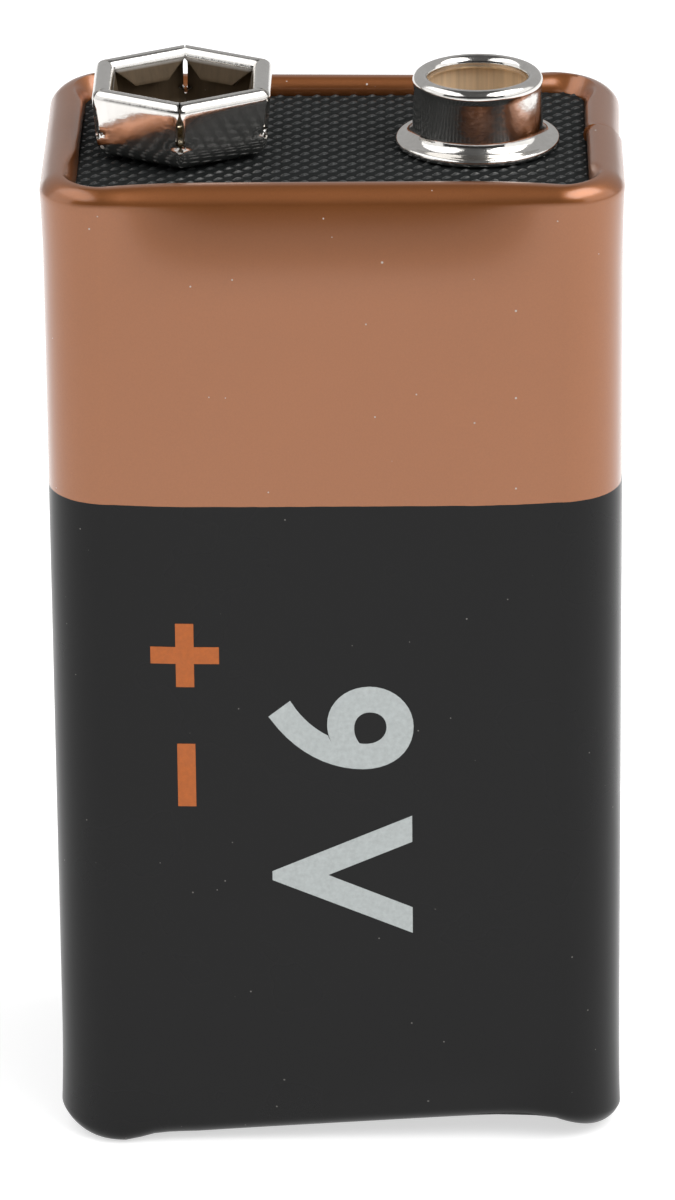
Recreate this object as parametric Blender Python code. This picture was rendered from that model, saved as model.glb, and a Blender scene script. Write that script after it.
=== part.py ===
"""A nine volt dry battery, built from its own pieces.

Six small round cells stand in two rows of three inside a thin steel jacket. The jacket is rolled
over the edge of a terminal board at the top and of a base plate at the bottom, and lapped along
one narrow end. Strips join the cells in series, and two eyelets hold the snap terminals: a
six-petal socket (negative) and a round stud (positive).

Frame: metres, +Z up, origin on the ground under the middle. The broad front looks along -Y, the
socket is on the -X side and the stud on the +X side.
"""
import math

import bmesh
import bpy
from mathutils import Vector

MM = 0.001

# Cells
CELL_DIAMETER = 7.8 * MM
CELL_LENGTH = 39.2 * MM
CELL_COLUMNS = 3
CELL_ROWS = 2
COLUMN_GAP = 0.2 * MM
ROW_GAP = 0.1 * MM
CELL_NUB_RADIUS = 1.7 * MM
CELL_NUB_HEIGHT = 0.7 * MM
CELL_SHOULDER = 0.55 * MM
CELL_CRIMP_DEPTH = 0.25 * MM
CELL_CRIMP_RADIUS = 3.0 * MM
CELL_SIDES = 20

# Paper tube round the cells, and the room on its two sides
LINER_THICKNESS = 0.15 * MM
CELL_SLACK_X = 0.17 * MM
CELL_SLACK_Y = 0.12 * MM
LINER_SLACK = 0.08 * MM

# Jacket sheet
SHEET = 0.2 * MM
CORNER_RADIUS = 2.84 * MM
BEAD_RADIUS = 0.75 * MM
CURL_ANGLE = math.radians(15)
FACE_BOW = 0.34 * MM
END_BOW = 0.1 * MM
RIM_PRESS = 0.25 * MM
PRESS_REACH = 4.4 * MM
GATHER = 0.5
FOOT_DROP = 0.25 * MM
FOOT_REACH = 2.6 * MM
SEAM_Y = 0.3 * MM
SEAM_STEP = 0.1 * MM
SEAM_EDGE = 0.06 * MM
BAND_HEIGHT = 30.98 * MM

# Boards, cards and the stack
SEAT_GAP = 0.05 * MM
BOARD_THICKNESS = 0.9 * MM
BOARD_STEP = 0.3 * MM
BASE_THICKNESS = 0.8 * MM
BASE_STEP = 0.45 * MM
STEP_MARGIN = 0.2 * MM
CARD_THICKNESS = 0.25 * MM
CARD_WINDOW_RADIUS = 2.5 * MM
TAIL_ROOM = 1.1 * MM

# Strips between the cells
STRIP_THICKNESS = 0.15 * MM
STRIP_WIDTH = 2.6 * MM
STRIP_OVERHANG = 1.4 * MM
LEAD_STRAIGHT = 0.3 * MM

# Terminals
TERMINAL_SPACING = 12.85 * MM
TERMINAL_SHIFT = -0.12 * MM
TERMINAL_SHEET = 0.25 * MM
HOLE_RADIUS = 1.05 * MM
STUD_RADIUS = 2.84 * MM
STUD_BODY_RADIUS = 2.78 * MM
STUD_THROAT_RADIUS = 2.15 * MM
STUD_FLANGE_RADIUS = 3.59 * MM
STUD_HEIGHT = 3.165 * MM
STUD_COVE = 0.6 * MM
LIP_HEIGHT = 0.32 * MM
SOCKET_FLAT = 3.875 * MM
SOCKET_WAIST = 3.72 * MM
SOCKET_HEIGHT = 3.155 * MM
SOCKET_ROLL = 0.43 * MM
SOCKET_HEEL = 0.9 * MM
SOCKET_HOLE_FLAT = 1.15 * MM
LEG_FLAT = 2.8 * MM
LEG_DROP = 1.25 * MM
LEG_EDGE = 1.7 * MM
SLIT_WIDTH = 0.3 * MM
SLIT_TOP_WIDTH = 0.1 * MM

# Eyelets
EYELET_RADIUS = 1.0 * MM
EYELET_WALL = 0.2 * MM
EYELET_HEAD_RADIUS = 1.55 * MM
EYELET_HEAD = 0.2 * MM

ROUND_SIDES = 32
EYELET_SIDES = 20
CUTTER_SIDES = 24

# How far a cutter runs past what it cuts
OVERRUN = 1.0 * MM

# Places worked out from the sizes above
PITCH_X = CELL_DIAMETER + COLUMN_GAP
PITCH_Y = CELL_DIAMETER + ROW_GAP
LINER_INSET = SHEET + LINER_SLACK
CELLS_X = (CELL_COLUMNS - 1) * PITCH_X + CELL_DIAMETER
CELLS_Y = (CELL_ROWS - 1) * PITCH_Y + CELL_DIAMETER
HALF_X = CELLS_X / 2 + CELL_SLACK_X + LINER_THICKNESS + LINER_INSET
HALF_Y = CELLS_Y / 2 + CELL_SLACK_Y + LINER_THICKNESS + LINER_INSET

CURL_RISE = BEAD_RADIUS * math.sin(CURL_ANGLE)
CURL_REACH = BEAD_RADIUS * (1 + math.cos(CURL_ANGLE))
LOW_BEAD_Z = FOOT_DROP + BEAD_RADIUS
BASE_Z = LOW_BEAD_Z + CURL_RISE + SEAT_GAP
LOWER_CARD_Z = BASE_Z + BASE_THICKNESS + SEAT_GAP
LOWER_STRIP_Z = LOWER_CARD_Z + CARD_THICKNESS + SEAT_GAP
CELL_Z = LOWER_STRIP_Z + STRIP_THICKNESS + SEAT_GAP
UPPER_STRIP_Z = CELL_Z + CELL_LENGTH + SEAT_GAP
UPPER_CARD_Z = UPPER_STRIP_Z + STRIP_THICKNESS + SEAT_GAP
BOARD_Z = UPPER_CARD_Z + CARD_THICKNESS + TAIL_ROOM
BOARD_EDGE_TOP = BOARD_Z + BOARD_THICKNESS
BOARD_TOP = BOARD_EDGE_TOP + BOARD_STEP
HIGH_BEAD_Z = BOARD_EDGE_TOP + SEAT_GAP + CURL_RISE
TERMINAL_Z = BOARD_TOP + SEAT_GAP
LEAD_Z = BOARD_Z - SEAT_GAP - STRIP_THICKNESS
STUD_X = TERMINAL_SHIFT + TERMINAL_SPACING / 2
SOCKET_X = TERMINAL_SHIFT - TERMINAL_SPACING / 2


def clear_scene():
    for thing in list(bpy.data.objects):
        bpy.data.objects.remove(thing)


def finish(name, colour, roughness, metallic):
    """A plain material: one colour, one gloss."""
    material = bpy.data.materials.new(name)
    material.use_nodes = True
    shader = material.node_tree.nodes["Principled BSDF"]
    shader.inputs["Base Color"].default_value = (*colour, 1.0)
    shader.inputs["Roughness"].default_value = roughness
    shader.inputs["Metallic"].default_value = metallic
    material.diffuse_color = (*colour, 1.0)
    return material


def add_object(name, bm, materials, sharp=35):
    """Closes a bmesh into a named object, smooth except over edges sharper than the angle."""
    mesh = bpy.data.meshes.new(name)
    bm.to_mesh(mesh)
    bm.free()
    mesh.shade_smooth()
    mesh.set_sharp_from_angle(angle=math.radians(sharp))
    for material in materials:
        mesh.materials.append(material)
    thing = bpy.data.objects.new(name, mesh)
    bpy.context.collection.objects.link(thing)
    return thing


def skin(bm, rings, closed):
    """Quads between rings of vertices; closed joins the last ring to the first."""
    pairs = list(zip(rings, rings[1:]))
    if closed:
        pairs.append((rings[-1], rings[0]))
    for low, high in pairs:
        for i in range(len(low)):
            j = (i + 1) % len(low)
            bm.faces.new((low[i], low[j], high[j], high[i]))


def arc(centre, radius, start, end, steps):
    """Points on a circle in the section plane, from the start to the end angle in degrees."""
    points = []
    for i in range(steps + 1):
        angle = math.radians(start + (end - start) * i / steps)
        points.append((centre[0] + radius * math.cos(angle), centre[1] + radius * math.sin(angle)))
    return points


def turned(name, section, sides, materials, turn=0.0, sharp=35):
    """Turns a closed section of (radius, height) points; a section that ends on the axis is solid.

    The section runs down its outer side. With six sides the radius is measured to the corners.
    """
    bm = bmesh.new()
    on_axis = section[0][0] == 0.0
    body = section[1:-1] if on_axis else section
    rings = []
    for radius, height in body:
        ring = []
        for i in range(sides):
            angle = turn + 2 * math.pi * i / sides
            ring.append(bm.verts.new((radius * math.cos(angle), radius * math.sin(angle), height)))
        rings.append(ring)
    skin(bm, rings, closed=not on_axis)
    if on_axis:
        for (radius, height), ring in ((section[0], rings[0]), (section[-1], rings[-1])):
            tip = bm.verts.new((radius, 0.0, height))
            for i in range(sides):
                bm.faces.new((ring[i], ring[(i + 1) % sides], tip))
    bmesh.ops.recalc_face_normals(bm, faces=bm.faces)
    return add_object(name, bm, materials, sharp)


def ease(value):
    """Smooth rise from 0 to 1."""
    value = min(max(value, 0.0), 1.0)
    return value * value * (3 - 2 * value)


class Station:
    """One place on the jacket's plan: a core point, the way out, and what bends the sheet there."""

    def __init__(self, core, normal, bow=0.0, foot=0.0, seam=0.0, gather=0.0):
        self.core = core
        self.normal = normal
        self.bow = bow
        self.foot = foot
        self.seam = seam
        self.gather = gather

    def point(self, inset, height, push=0.0):
        place = self.core + self.normal * (CORNER_RADIUS - inset + push)
        return (place.x, place.y, height)


def side_stations(side):
    """Stations along one straight side; side 0 is the +X end, then counter-clockwise."""
    angle = side * math.pi / 2
    normal = Vector((math.cos(angle), math.sin(angle)))
    along = Vector((-normal.y, normal.x))
    is_end = side % 2 == 0
    reach = (HALF_Y if is_end else HALF_X) - CORNER_RADIUS
    core = normal * ((HALF_X if is_end else HALF_Y) - CORNER_RADIUS)
    count = 6 if is_end else 10
    places = [-1 + 2 * i / count for i in range(1, count)]
    if side == 0:
        places = sorted([p for p in places if abs(p) > 0.1]
                        + [(SEAM_Y - SEAM_EDGE) / reach, SEAM_Y / reach])
    out = []
    for place in places:
        bow = (1 - place ** 4) ** 1.4 * (END_BOW if is_end else FACE_BOW)
        foot = 1 - ease((1 - abs(place)) * reach / FOOT_REACH)
        seam = 0.0
        if side == 0 and place * reach > SEAM_Y - SEAM_EDGE / 2:
            seam = 1 - ease((place * reach - SEAM_Y) / (reach - SEAM_Y))
        out.append(Station(core + along * reach * place, normal, bow, foot, seam))
    return out


def corner_stations(side):
    """Stations round the corner that ends a side."""
    start = side * math.pi / 2
    is_end = side % 2 == 0
    normal = Vector((math.cos(start), math.sin(start)))
    along = Vector((-normal.y, normal.x))
    core = normal * ((HALF_X if is_end else HALF_Y) - CORNER_RADIUS)
    core = core + along * ((HALF_Y if is_end else HALF_X) - CORNER_RADIUS)
    out = []
    for i in range(6):
        angle = start + math.pi / 2 * i / 5
        gather = math.sin(math.pi * i / 5)
        out.append(Station(core, Vector((math.cos(angle), math.sin(angle))), foot=1.0, gather=gather))
    return out


def plan():
    stations = []
    for side in range(4):
        stations += side_stations(side) + corner_stations(side)
    return stations


def jacket_section():
    """The sheet's two faces as (inset, height) points, outer face first, from the top curl down."""
    curl = math.degrees(CURL_ANGLE)
    outer, inner = [], []
    for side, radius in ((outer, BEAD_RADIUS), (inner, BEAD_RADIUS - SHEET)):
        inset = BEAD_RADIUS - radius
        side += arc((BEAD_RADIUS, HIGH_BEAD_Z), radius, -curl, 180, 6)
        side += [(inset, HIGH_BEAD_Z - PRESS_REACH * share) for share in (0.3, 0.65, 1.0)]
        side += [(inset, BAND_HEIGHT)]
        side += [(inset, LOW_BEAD_Z + PRESS_REACH * share) for share in (1.0, 0.65, 0.3)]
        side += arc((BEAD_RADIUS, LOW_BEAD_Z), radius, -180, curl, 6)
    return outer + inner[::-1]


def sheet_push(station, height):
    """How far the sheet stands out at a height: bowed in the middle, and leaning in to the rims."""
    nearest = min(HIGH_BEAD_Z - height, height - LOW_BEAD_Z) / PRESS_REACH
    free = 2 * nearest if nearest < 0 else 1 - (1 - min(nearest, 1.0)) ** 2
    pressed = RIM_PRESS * (station.bow / FACE_BOW)
    return station.bow * free - pressed * (1 - free) - SEAM_STEP * station.seam


def gathered(station, inset, height):
    """A height on a curl, whose inner half lies flatter where the sheet gathers round a corner."""
    share = min(max(inset / BEAD_RADIUS - 1, 0.0), 1.0)
    centre = HIGH_BEAD_Z if height > BAND_HEIGHT else LOW_BEAD_Z
    return centre + (height - centre) * (1 - GATHER * station.gather * share)


def build_jacket(copper, black):
    """One sheet, rolled to the plan, lapped at the seam and curled over both ends."""
    bm = bmesh.new()
    stations = plan()
    section = jacket_section()
    rings = []
    for inset, height in section:
        drop = FOOT_DROP * ease((LOW_BEAD_Z + PRESS_REACH - height) / PRESS_REACH)
        ring = []
        for station in stations:
            push = sheet_push(station, height)
            low = gathered(station, inset, height) - drop * station.foot
            ring.append(bm.verts.new(station.point(inset, low, push)))
        rings.append(ring)
    skin(bm, rings, closed=True)
    bmesh.ops.recalc_face_normals(bm, faces=bm.faces)
    for face in bm.faces:
        face.material_index = 1 if face.calc_center_median().z < BAND_HEIGHT else 0
    return add_object("jacket", bm, [copper, black])


def plate(name, levels, material, push=-RIM_PRESS):
    """A flat plate with the jacket's plan: (inset, height) levels from its underside to its top."""
    bm = bmesh.new()
    stations = plan()
    rings = []
    for inset, height in levels:
        ring = []
        for station in stations:
            bend = push * station.bow / FACE_BOW
            ring.append(bm.verts.new(station.point(inset, height, bend - SEAM_STEP * station.seam)))
        rings.append(ring)
    skin(bm, rings, closed=False)
    bm.faces.new(reversed(rings[0]))
    bm.faces.new(rings[-1])
    return add_object(name, bm, [material], sharp=30)


def cylinder_cutter(name, places, radius, low, high):
    """Round cutters on (x, y) places, kept as a guide object."""
    bm = bmesh.new()
    for x, y in places:
        outline = arc((x, y), radius, 0, 360, CUTTER_SIDES)[:-1]
        rings = [[bm.verts.new((*point, height)) for point in outline] for height in (low, high)]
        skin(bm, rings, closed=False)
        bm.faces.new(reversed(rings[0]))
        bm.faces.new(rings[-1])
    return as_cutter(name, bm)


def as_cutter(name, bm):
    cutter = add_object(name, bm, [])
    cutter.hide_render = True
    cutter.display_type = "WIRE"
    return cutter


def cut(thing, cutter):
    boolean = thing.modifiers.new("cut " + cutter.name, "BOOLEAN")
    boolean.operation = "DIFFERENCE"
    boolean.solver = "EXACT"
    boolean.object = cutter


def build_board(black):
    """Terminal board: its edge lies under the curl, its middle stands up inside it."""
    panel = CURL_REACH + STEP_MARGIN
    levels = [(LINER_INSET, BOARD_Z), (LINER_INSET, BOARD_EDGE_TOP)]
    levels += [(panel, BOARD_EDGE_TOP), (panel, BOARD_TOP)]
    board = plate("terminal_board", levels, black)
    places = [(SOCKET_X, 0.0), (STUD_X, 0.0)]
    cut(board, cylinder_cutter("board_holes", places, HOLE_RADIUS, BOARD_Z - OVERRUN, BOARD_TOP + OVERRUN))
    return board


def build_base(black):
    """Base plate: its edge lies on the lower curl, its middle hangs down inside it."""
    panel = CURL_REACH + STEP_MARGIN
    levels = [(panel, BASE_Z - BASE_STEP), (panel, BASE_Z)]
    levels += [(LINER_INSET, BASE_Z), (LINER_INSET, BASE_Z + BASE_THICKNESS)]
    return plate("base_plate", levels, black)


def cell_places():
    """Cell centres in the order of the series chain, from the stud to the socket."""
    columns = [(i - (CELL_COLUMNS - 1) / 2) * PITCH_X for i in reversed(range(CELL_COLUMNS))]
    front, back = -PITCH_Y / 2, PITCH_Y / 2
    places = []
    for i, x in enumerate(columns):
        rows = (front, back) if i % 2 == 0 else (back, front)
        places += [(x, y) for y in rows]
    return places


def build_cards(card):
    """Insulating cards over and under the cells; the upper one has a window for each lead."""
    low = [(LINER_INSET, LOWER_CARD_Z), (LINER_INSET, LOWER_CARD_Z + CARD_THICKNESS)]
    high = [(LINER_INSET, UPPER_CARD_Z), (LINER_INSET, UPPER_CARD_Z + CARD_THICKNESS)]
    plate("lower_card", low, card)
    upper = plate("upper_card", high, card)
    places = cell_places()
    windows = cylinder_cutter("card_windows", [places[0], places[-1]], CARD_WINDOW_RADIUS,
                              UPPER_CARD_Z - CARD_THICKNESS, UPPER_CARD_Z + 2 * CARD_THICKNESS)
    cut(upper, windows)


def build_liner(paper):
    """Paper tube that keeps the cells off the jacket."""
    bm = bmesh.new()
    stations = plan()
    low, high = CELL_Z, CELL_Z + CELL_LENGTH
    inner = LINER_INSET + LINER_THICKNESS
    rings = []
    for inset, height in ((LINER_INSET, low), (LINER_INSET, high), (inner, high), (inner, low)):
        ring = []
        for station in stations:
            ring.append(bm.verts.new(station.point(inset, height, -SEAM_STEP * station.seam)))
        rings.append(ring)
    skin(bm, rings, closed=True)
    bmesh.ops.recalc_face_normals(bm, faces=bm.faces)
    add_object("cell_liner", bm, [paper], sharp=30)


def cell_section():
    """Half section of a cell with its nub up, from the top of the axis to the bottom."""
    radius = CELL_DIAMETER / 2
    shoulder = CELL_LENGTH - CELL_NUB_HEIGHT
    sunk = shoulder - CELL_CRIMP_DEPTH
    section = [(0.0, CELL_LENGTH), (CELL_NUB_RADIUS, CELL_LENGTH), (CELL_NUB_RADIUS, sunk)]
    section += [(CELL_CRIMP_RADIUS, sunk), (CELL_CRIMP_RADIUS + CELL_CRIMP_DEPTH, shoulder)]
    section += [(radius, shoulder - CELL_SHOULDER), (radius, CELL_SHOULDER)]
    section += [(radius - CELL_SHOULDER, 0.0)]
    return section + [(0.0, 0.0)]


def build_cells(steel):
    """Six sealed cells, every other one upside down, so that strips can join them in series."""
    for number, (x, y) in enumerate(cell_places(), start=1):
        cell = turned(f"cell_{number}", cell_section(), CELL_SIDES, [steel])
        if number % 2 == 0:
            cell.rotation_euler = (math.pi, 0.0, 0.0)
            cell.location = (x, y, CELL_Z + CELL_LENGTH)
        else:
            cell.location = (x, y, CELL_Z)


def strip(name, path, start, direction, material):
    """A bent strip: (distance, height) points of its underside along a level direction."""
    bm = bmesh.new()
    across = Vector((-direction.y, direction.x)) * STRIP_WIDTH / 2
    sections = []
    for distance, height in path:
        middle = start + direction * distance
        ring = []
        for side, lift in ((-1, 0), (1, 0), (1, STRIP_THICKNESS), (-1, STRIP_THICKNESS)):
            place = middle + across * side
            ring.append(bm.verts.new((place.x, place.y, height + lift)))
        sections.append(ring)
    skin(bm, sections, closed=False)
    bm.faces.new(reversed(sections[0]))
    bm.faces.new(sections[-1])
    bmesh.ops.recalc_face_normals(bm, faces=bm.faces)
    return add_object(name, bm, [material], sharp=30)


def build_strips(nickel):
    """Strips that join one cell to the next, by turns under and over them."""
    places = [Vector(place) for place in cell_places()]
    for number, (first, second) in enumerate(zip(places, places[1:]), start=1):
        height = LOWER_STRIP_Z if number % 2 else UPPER_STRIP_Z
        direction = (second - first).normalized()
        reach = (second - first).length + STRIP_OVERHANG
        path = [(-STRIP_OVERHANG, height), (reach, height)]
        strip(f"cell_strip_{number}", path, first, direction, nickel)


def build_leads(nickel):
    """Strips from the eyelets under the board down to the ends of the chain."""
    places = [Vector(place) for place in cell_places()]
    ends = (("positive_lead", STUD_X, places[0]), ("negative_lead", SOCKET_X, places[-1]))
    for name, x, cell in ends:
        start = Vector((x, 0.0))
        direction = (cell - start).normalized()
        reach = (cell - start).length
        land = reach - STRIP_OVERHANG
        path = [(-EYELET_HEAD_RADIUS, LEAD_Z), (EYELET_HEAD_RADIUS + LEAD_STRAIGHT, LEAD_Z)]
        path += [(land, UPPER_STRIP_Z), (reach + STRIP_OVERHANG, UPPER_STRIP_Z)]
        lead = strip(name, path, start, direction, nickel)
        low = LEAD_Z - STRIP_THICKNESS
        cut(lead, cylinder_cutter(name + "_hole", [(x, 0.0)], HOLE_RADIUS, low, BOARD_Z))


def build_stud(nickel):
    """Round stud: a drawn cup whose mouth is hemmed inwards, on a coved flange."""
    sheet = TERMINAL_SHEET
    roll = (STUD_RADIUS - STUD_THROAT_RADIUS) / 2
    centre = (STUD_RADIUS - roll, STUD_HEIGHT - roll)
    cove = (STUD_BODY_RADIUS + STUD_COVE, LIP_HEIGHT + STUD_COVE)
    inside = STUD_BODY_RADIUS - sheet
    section = arc(centre, roll, 200, 0, 8)
    section += [(STUD_BODY_RADIUS, centre[1] - roll)]
    section += arc(cove, STUD_COVE, 180, 270, 5)
    section += [(STUD_FLANGE_RADIUS - sheet / 2, LIP_HEIGHT), (STUD_FLANGE_RADIUS, LIP_HEIGHT - sheet / 2)]
    section += [(STUD_FLANGE_RADIUS, sheet / 3), (STUD_FLANGE_RADIUS - sheet / 3, 0.0)]
    section += [(HOLE_RADIUS, 0.0), (HOLE_RADIUS, sheet)]
    section += [(inside - sheet, sheet), (inside, 2 * sheet), (inside, centre[1] - roll)]
    section += arc(centre, roll - sheet, 0, 200, 6)
    stud = turned("positive_terminal", section, ROUND_SIDES, [nickel])
    stud.location = (STUD_X, 0.0, TERMINAL_Z)


def socket_section():
    """Section through the middle of a petal, measured to the flats: heel, wall, roll and leg."""
    sheet = TERMINAL_SHEET
    roll = (SOCKET_FLAT - SOCKET_ROLL, SOCKET_HEIGHT - SOCKET_ROLL)
    heel = (SOCKET_WAIST - SOCKET_HEEL, SOCKET_HEEL)
    leg_low = SOCKET_HEIGHT - LEG_DROP
    section = [(LEG_FLAT, leg_low)]
    section += arc(roll, SOCKET_ROLL, 180, 0, 8)
    section += arc(heel, SOCKET_HEEL, 0, -90, 5)
    section += [(SOCKET_HOLE_FLAT, 0.0), (SOCKET_HOLE_FLAT, sheet)]
    section += arc(heel, SOCKET_HEEL - sheet, -90, 0, 5)
    section += arc(roll, SOCKET_ROLL - sheet, 0, 180, 6)
    section += [(LEG_FLAT + sheet, leg_low)]
    return section


def radial_cutter(name, outline, inner, outer):
    """Six copies of a (sideways, height) outline, each run outwards along a corner of the hexagon."""
    bm = bmesh.new()
    for corner in range(6):
        angle = math.radians(30 + 60 * corner)
        out = Vector((math.cos(angle), math.sin(angle)))
        side = Vector((-out.y, out.x))
        rings = []
        for distance in (inner, outer):
            ring = []
            for shift, height in outline:
                place = out * distance + side * shift
                ring.append(bm.verts.new((place.x, place.y, height)))
            rings.append(ring)
        skin(bm, rings, closed=False)
        bm.faces.new(reversed(rings[0]))
        bm.faces.new(rings[-1])
    bmesh.ops.recalc_face_normals(bm, faces=bm.faces)
    return as_cutter(name, bm)


def build_socket(nickel):
    """Hexagonal socket: six petals, parted by slits, each rolled over into a tapered spring leg."""
    to_corner = 1 / math.cos(math.radians(30))
    section = [(flat * to_corner, height) for flat, height in socket_section()]
    socket = turned("negative_terminal", section, 6, [nickel], turn=math.radians(30), sharp=50)
    socket.location = (SOCKET_X, 0.0, TERMINAL_Z)

    top, wide, thin = SOCKET_HEIGHT, SLIT_WIDTH / 2, SLIT_TOP_WIDTH / 2
    neck = top - SOCKET_ROLL
    slit = [(-wide, SOCKET_HEEL), (wide, SOCKET_HEEL), (wide, neck), (thin, neck + wide)]
    slit += [(thin, top + OVERRUN), (-thin, top + OVERRUN), (-thin, neck + wide), (-wide, neck)]
    slits = radial_cutter("socket_slits", slit, LEG_FLAT, SOCKET_FLAT * to_corner + OVERRUN)

    leg_low = top - LEG_DROP
    full_edge = LEG_FLAT * math.tan(math.radians(30))
    spread = (full_edge - LEG_EDGE / 2) * math.cos(math.radians(30))
    taper = [(-spread - wide, leg_low - wide), (spread + wide, leg_low - wide), (wide, neck), (-wide, neck)]
    leg_outer = (LEG_FLAT + TERMINAL_SHEET) * to_corner
    tapers = radial_cutter("leg_tapers", taper, LEG_FLAT - OVERRUN / 2, leg_outer)
    for cutter in (slits, tapers):
        cutter.location = socket.location
        cut(socket, cutter)


def build_eyelets(brass):
    """Tubular rivets: a head on the terminal's floor, and a tail flared under the lead."""
    low = LEAD_Z - SEAT_GAP - EYELET_HEAD
    high = TERMINAL_Z + TERMINAL_SHEET + SEAT_GAP + EYELET_HEAD
    bore = EYELET_RADIUS - EYELET_WALL
    rounding = EYELET_HEAD / 2
    section = [(bore + rounding, high), (EYELET_HEAD_RADIUS - rounding, high)]
    section += [(EYELET_HEAD_RADIUS, high - rounding), (EYELET_HEAD_RADIUS, high - EYELET_HEAD)]
    section += [(EYELET_RADIUS, high - EYELET_HEAD), (EYELET_RADIUS, low + EYELET_HEAD)]
    section += [(EYELET_HEAD_RADIUS, low + EYELET_HEAD), (EYELET_HEAD_RADIUS - rounding, low)]
    section += [(bore + rounding, low), (bore, low + rounding), (bore, high - rounding)]
    for name, x in (("positive_eyelet", STUD_X), ("negative_eyelet", SOCKET_X)):
        eyelet = turned(name, section, EYELET_SIDES, [brass])
        eyelet.location = (x, 0.0, 0.0)


def main():
    clear_scene()
    copper = finish("copper lacquer", (0.42, 0.19, 0.11), 0.35, 0.85)
    black = finish("black lacquer", (0.03, 0.03, 0.03), 0.3, 0.0)
    board = finish("black board", (0.02, 0.022, 0.022), 0.6, 0.0)
    nickel = finish("nickel plate", (0.75, 0.74, 0.71), 0.15, 1.0)
    steel = finish("cell steel", (0.62, 0.62, 0.60), 0.3, 1.0)
    card = finish("grey card", (0.45, 0.43, 0.38), 0.9, 0.0)
    paper = finish("kraft paper", (0.55, 0.40, 0.25), 0.9, 0.0)
    brass = finish("tinned brass", (0.70, 0.66, 0.55), 0.25, 1.0)
    build_jacket(copper, black)
    build_board(board)
    build_base(board)
    build_cards(card)
    build_liner(paper)
    build_cells(steel)
    build_strips(nickel)
    build_leads(nickel)
    build_stud(nickel)
    build_socket(nickel)
    build_eyelets(brass)


main()
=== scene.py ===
"""Nine volt battery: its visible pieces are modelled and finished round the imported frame."""
import math

import bpy
import numpy as np
from bpy.props import FloatProperty, FloatVectorProperty, IntProperty, PointerProperty
from mathutils import Matrix, Vector


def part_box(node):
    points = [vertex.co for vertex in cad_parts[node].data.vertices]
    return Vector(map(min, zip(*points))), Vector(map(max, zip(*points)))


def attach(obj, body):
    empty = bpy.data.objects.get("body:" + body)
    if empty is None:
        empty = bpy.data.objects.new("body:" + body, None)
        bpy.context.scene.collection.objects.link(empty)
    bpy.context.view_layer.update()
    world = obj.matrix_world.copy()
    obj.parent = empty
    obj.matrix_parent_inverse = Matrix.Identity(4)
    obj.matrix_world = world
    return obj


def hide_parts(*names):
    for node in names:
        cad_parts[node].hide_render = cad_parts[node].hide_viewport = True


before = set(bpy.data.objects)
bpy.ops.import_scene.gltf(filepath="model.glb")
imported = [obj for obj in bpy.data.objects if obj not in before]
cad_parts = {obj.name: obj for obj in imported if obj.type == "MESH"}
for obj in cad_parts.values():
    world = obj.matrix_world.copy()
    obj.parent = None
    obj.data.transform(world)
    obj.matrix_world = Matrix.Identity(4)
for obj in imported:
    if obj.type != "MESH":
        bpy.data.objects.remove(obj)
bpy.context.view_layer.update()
MM = 0.001
# A length that counts as nothing, in metres
HAIR = 1e-9

# Where the sheet is cut across beside the lap, from its edge
LAP_STEPS = [step * MM for step in (-0.06, -0.03, 0.0, 0.08, 0.2, 0.45)]
# How fast the crease beside the lap runs out
CREASE_RUN = 0.09 * MM
# How far a fold reaches from its corner: right back, right front, left back, left front
FOLD_REACHES = [reach * MM for reach in (2.3, 1.4, 1.7, 3.9)]
# Where the slope of the lower roll starts, in front, and how long it is
SLOPE_START, SLOPE_RUN = -6.3 * MM, 15.5 * MM
# Rounding of the weave panel's edge, and how far it falls
PANEL_ROUNDING, PANEL_FALL = 0.14 * MM, 0.08 * MM
# Last rows of a petal's floor and heel, its wall, and its rolled crest
HEEL_END, WALL_END, CREST_END = 14, 24, 44
# Half the angle between two petals
LEAN = math.radians(30)

bl_info = {
    "name": "Nine Volt Battery",
    "version": (1, 0, 0),
    "blender": (4, 5, 0),
    "location": "3D View > Sidebar > Battery",
    "description": "Models and finishes the pieces of a nine volt battery round its packed frame",
    "category": "Object",
}


def node_centre(node):
    low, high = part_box(node)
    return (low + high) / 2


def length(name, description, size, low=0.0):
    """A length property; its default and its least value are given in millimetres."""
    return FloatProperty(name=name, description=description, default=size * MM, min=low * MM,
                         subtype="DISTANCE", unit="LENGTH", precision=6)


def angle(name, description, degrees):
    return FloatProperty(name=name, description=description, default=math.radians(degrees),
                         subtype="ANGLE")


def colour(name, description, value):
    return FloatVectorProperty(name=name, description=description, default=value, size=3,
                               min=0.0, max=1.0, subtype="COLOR")


def amount(name, description, value, low=0.0, high=1.0):
    return FloatProperty(name=name, description=description, default=value, min=low, max=high,
                         subtype="FACTOR")


# ---- What a user may change ----

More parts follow.
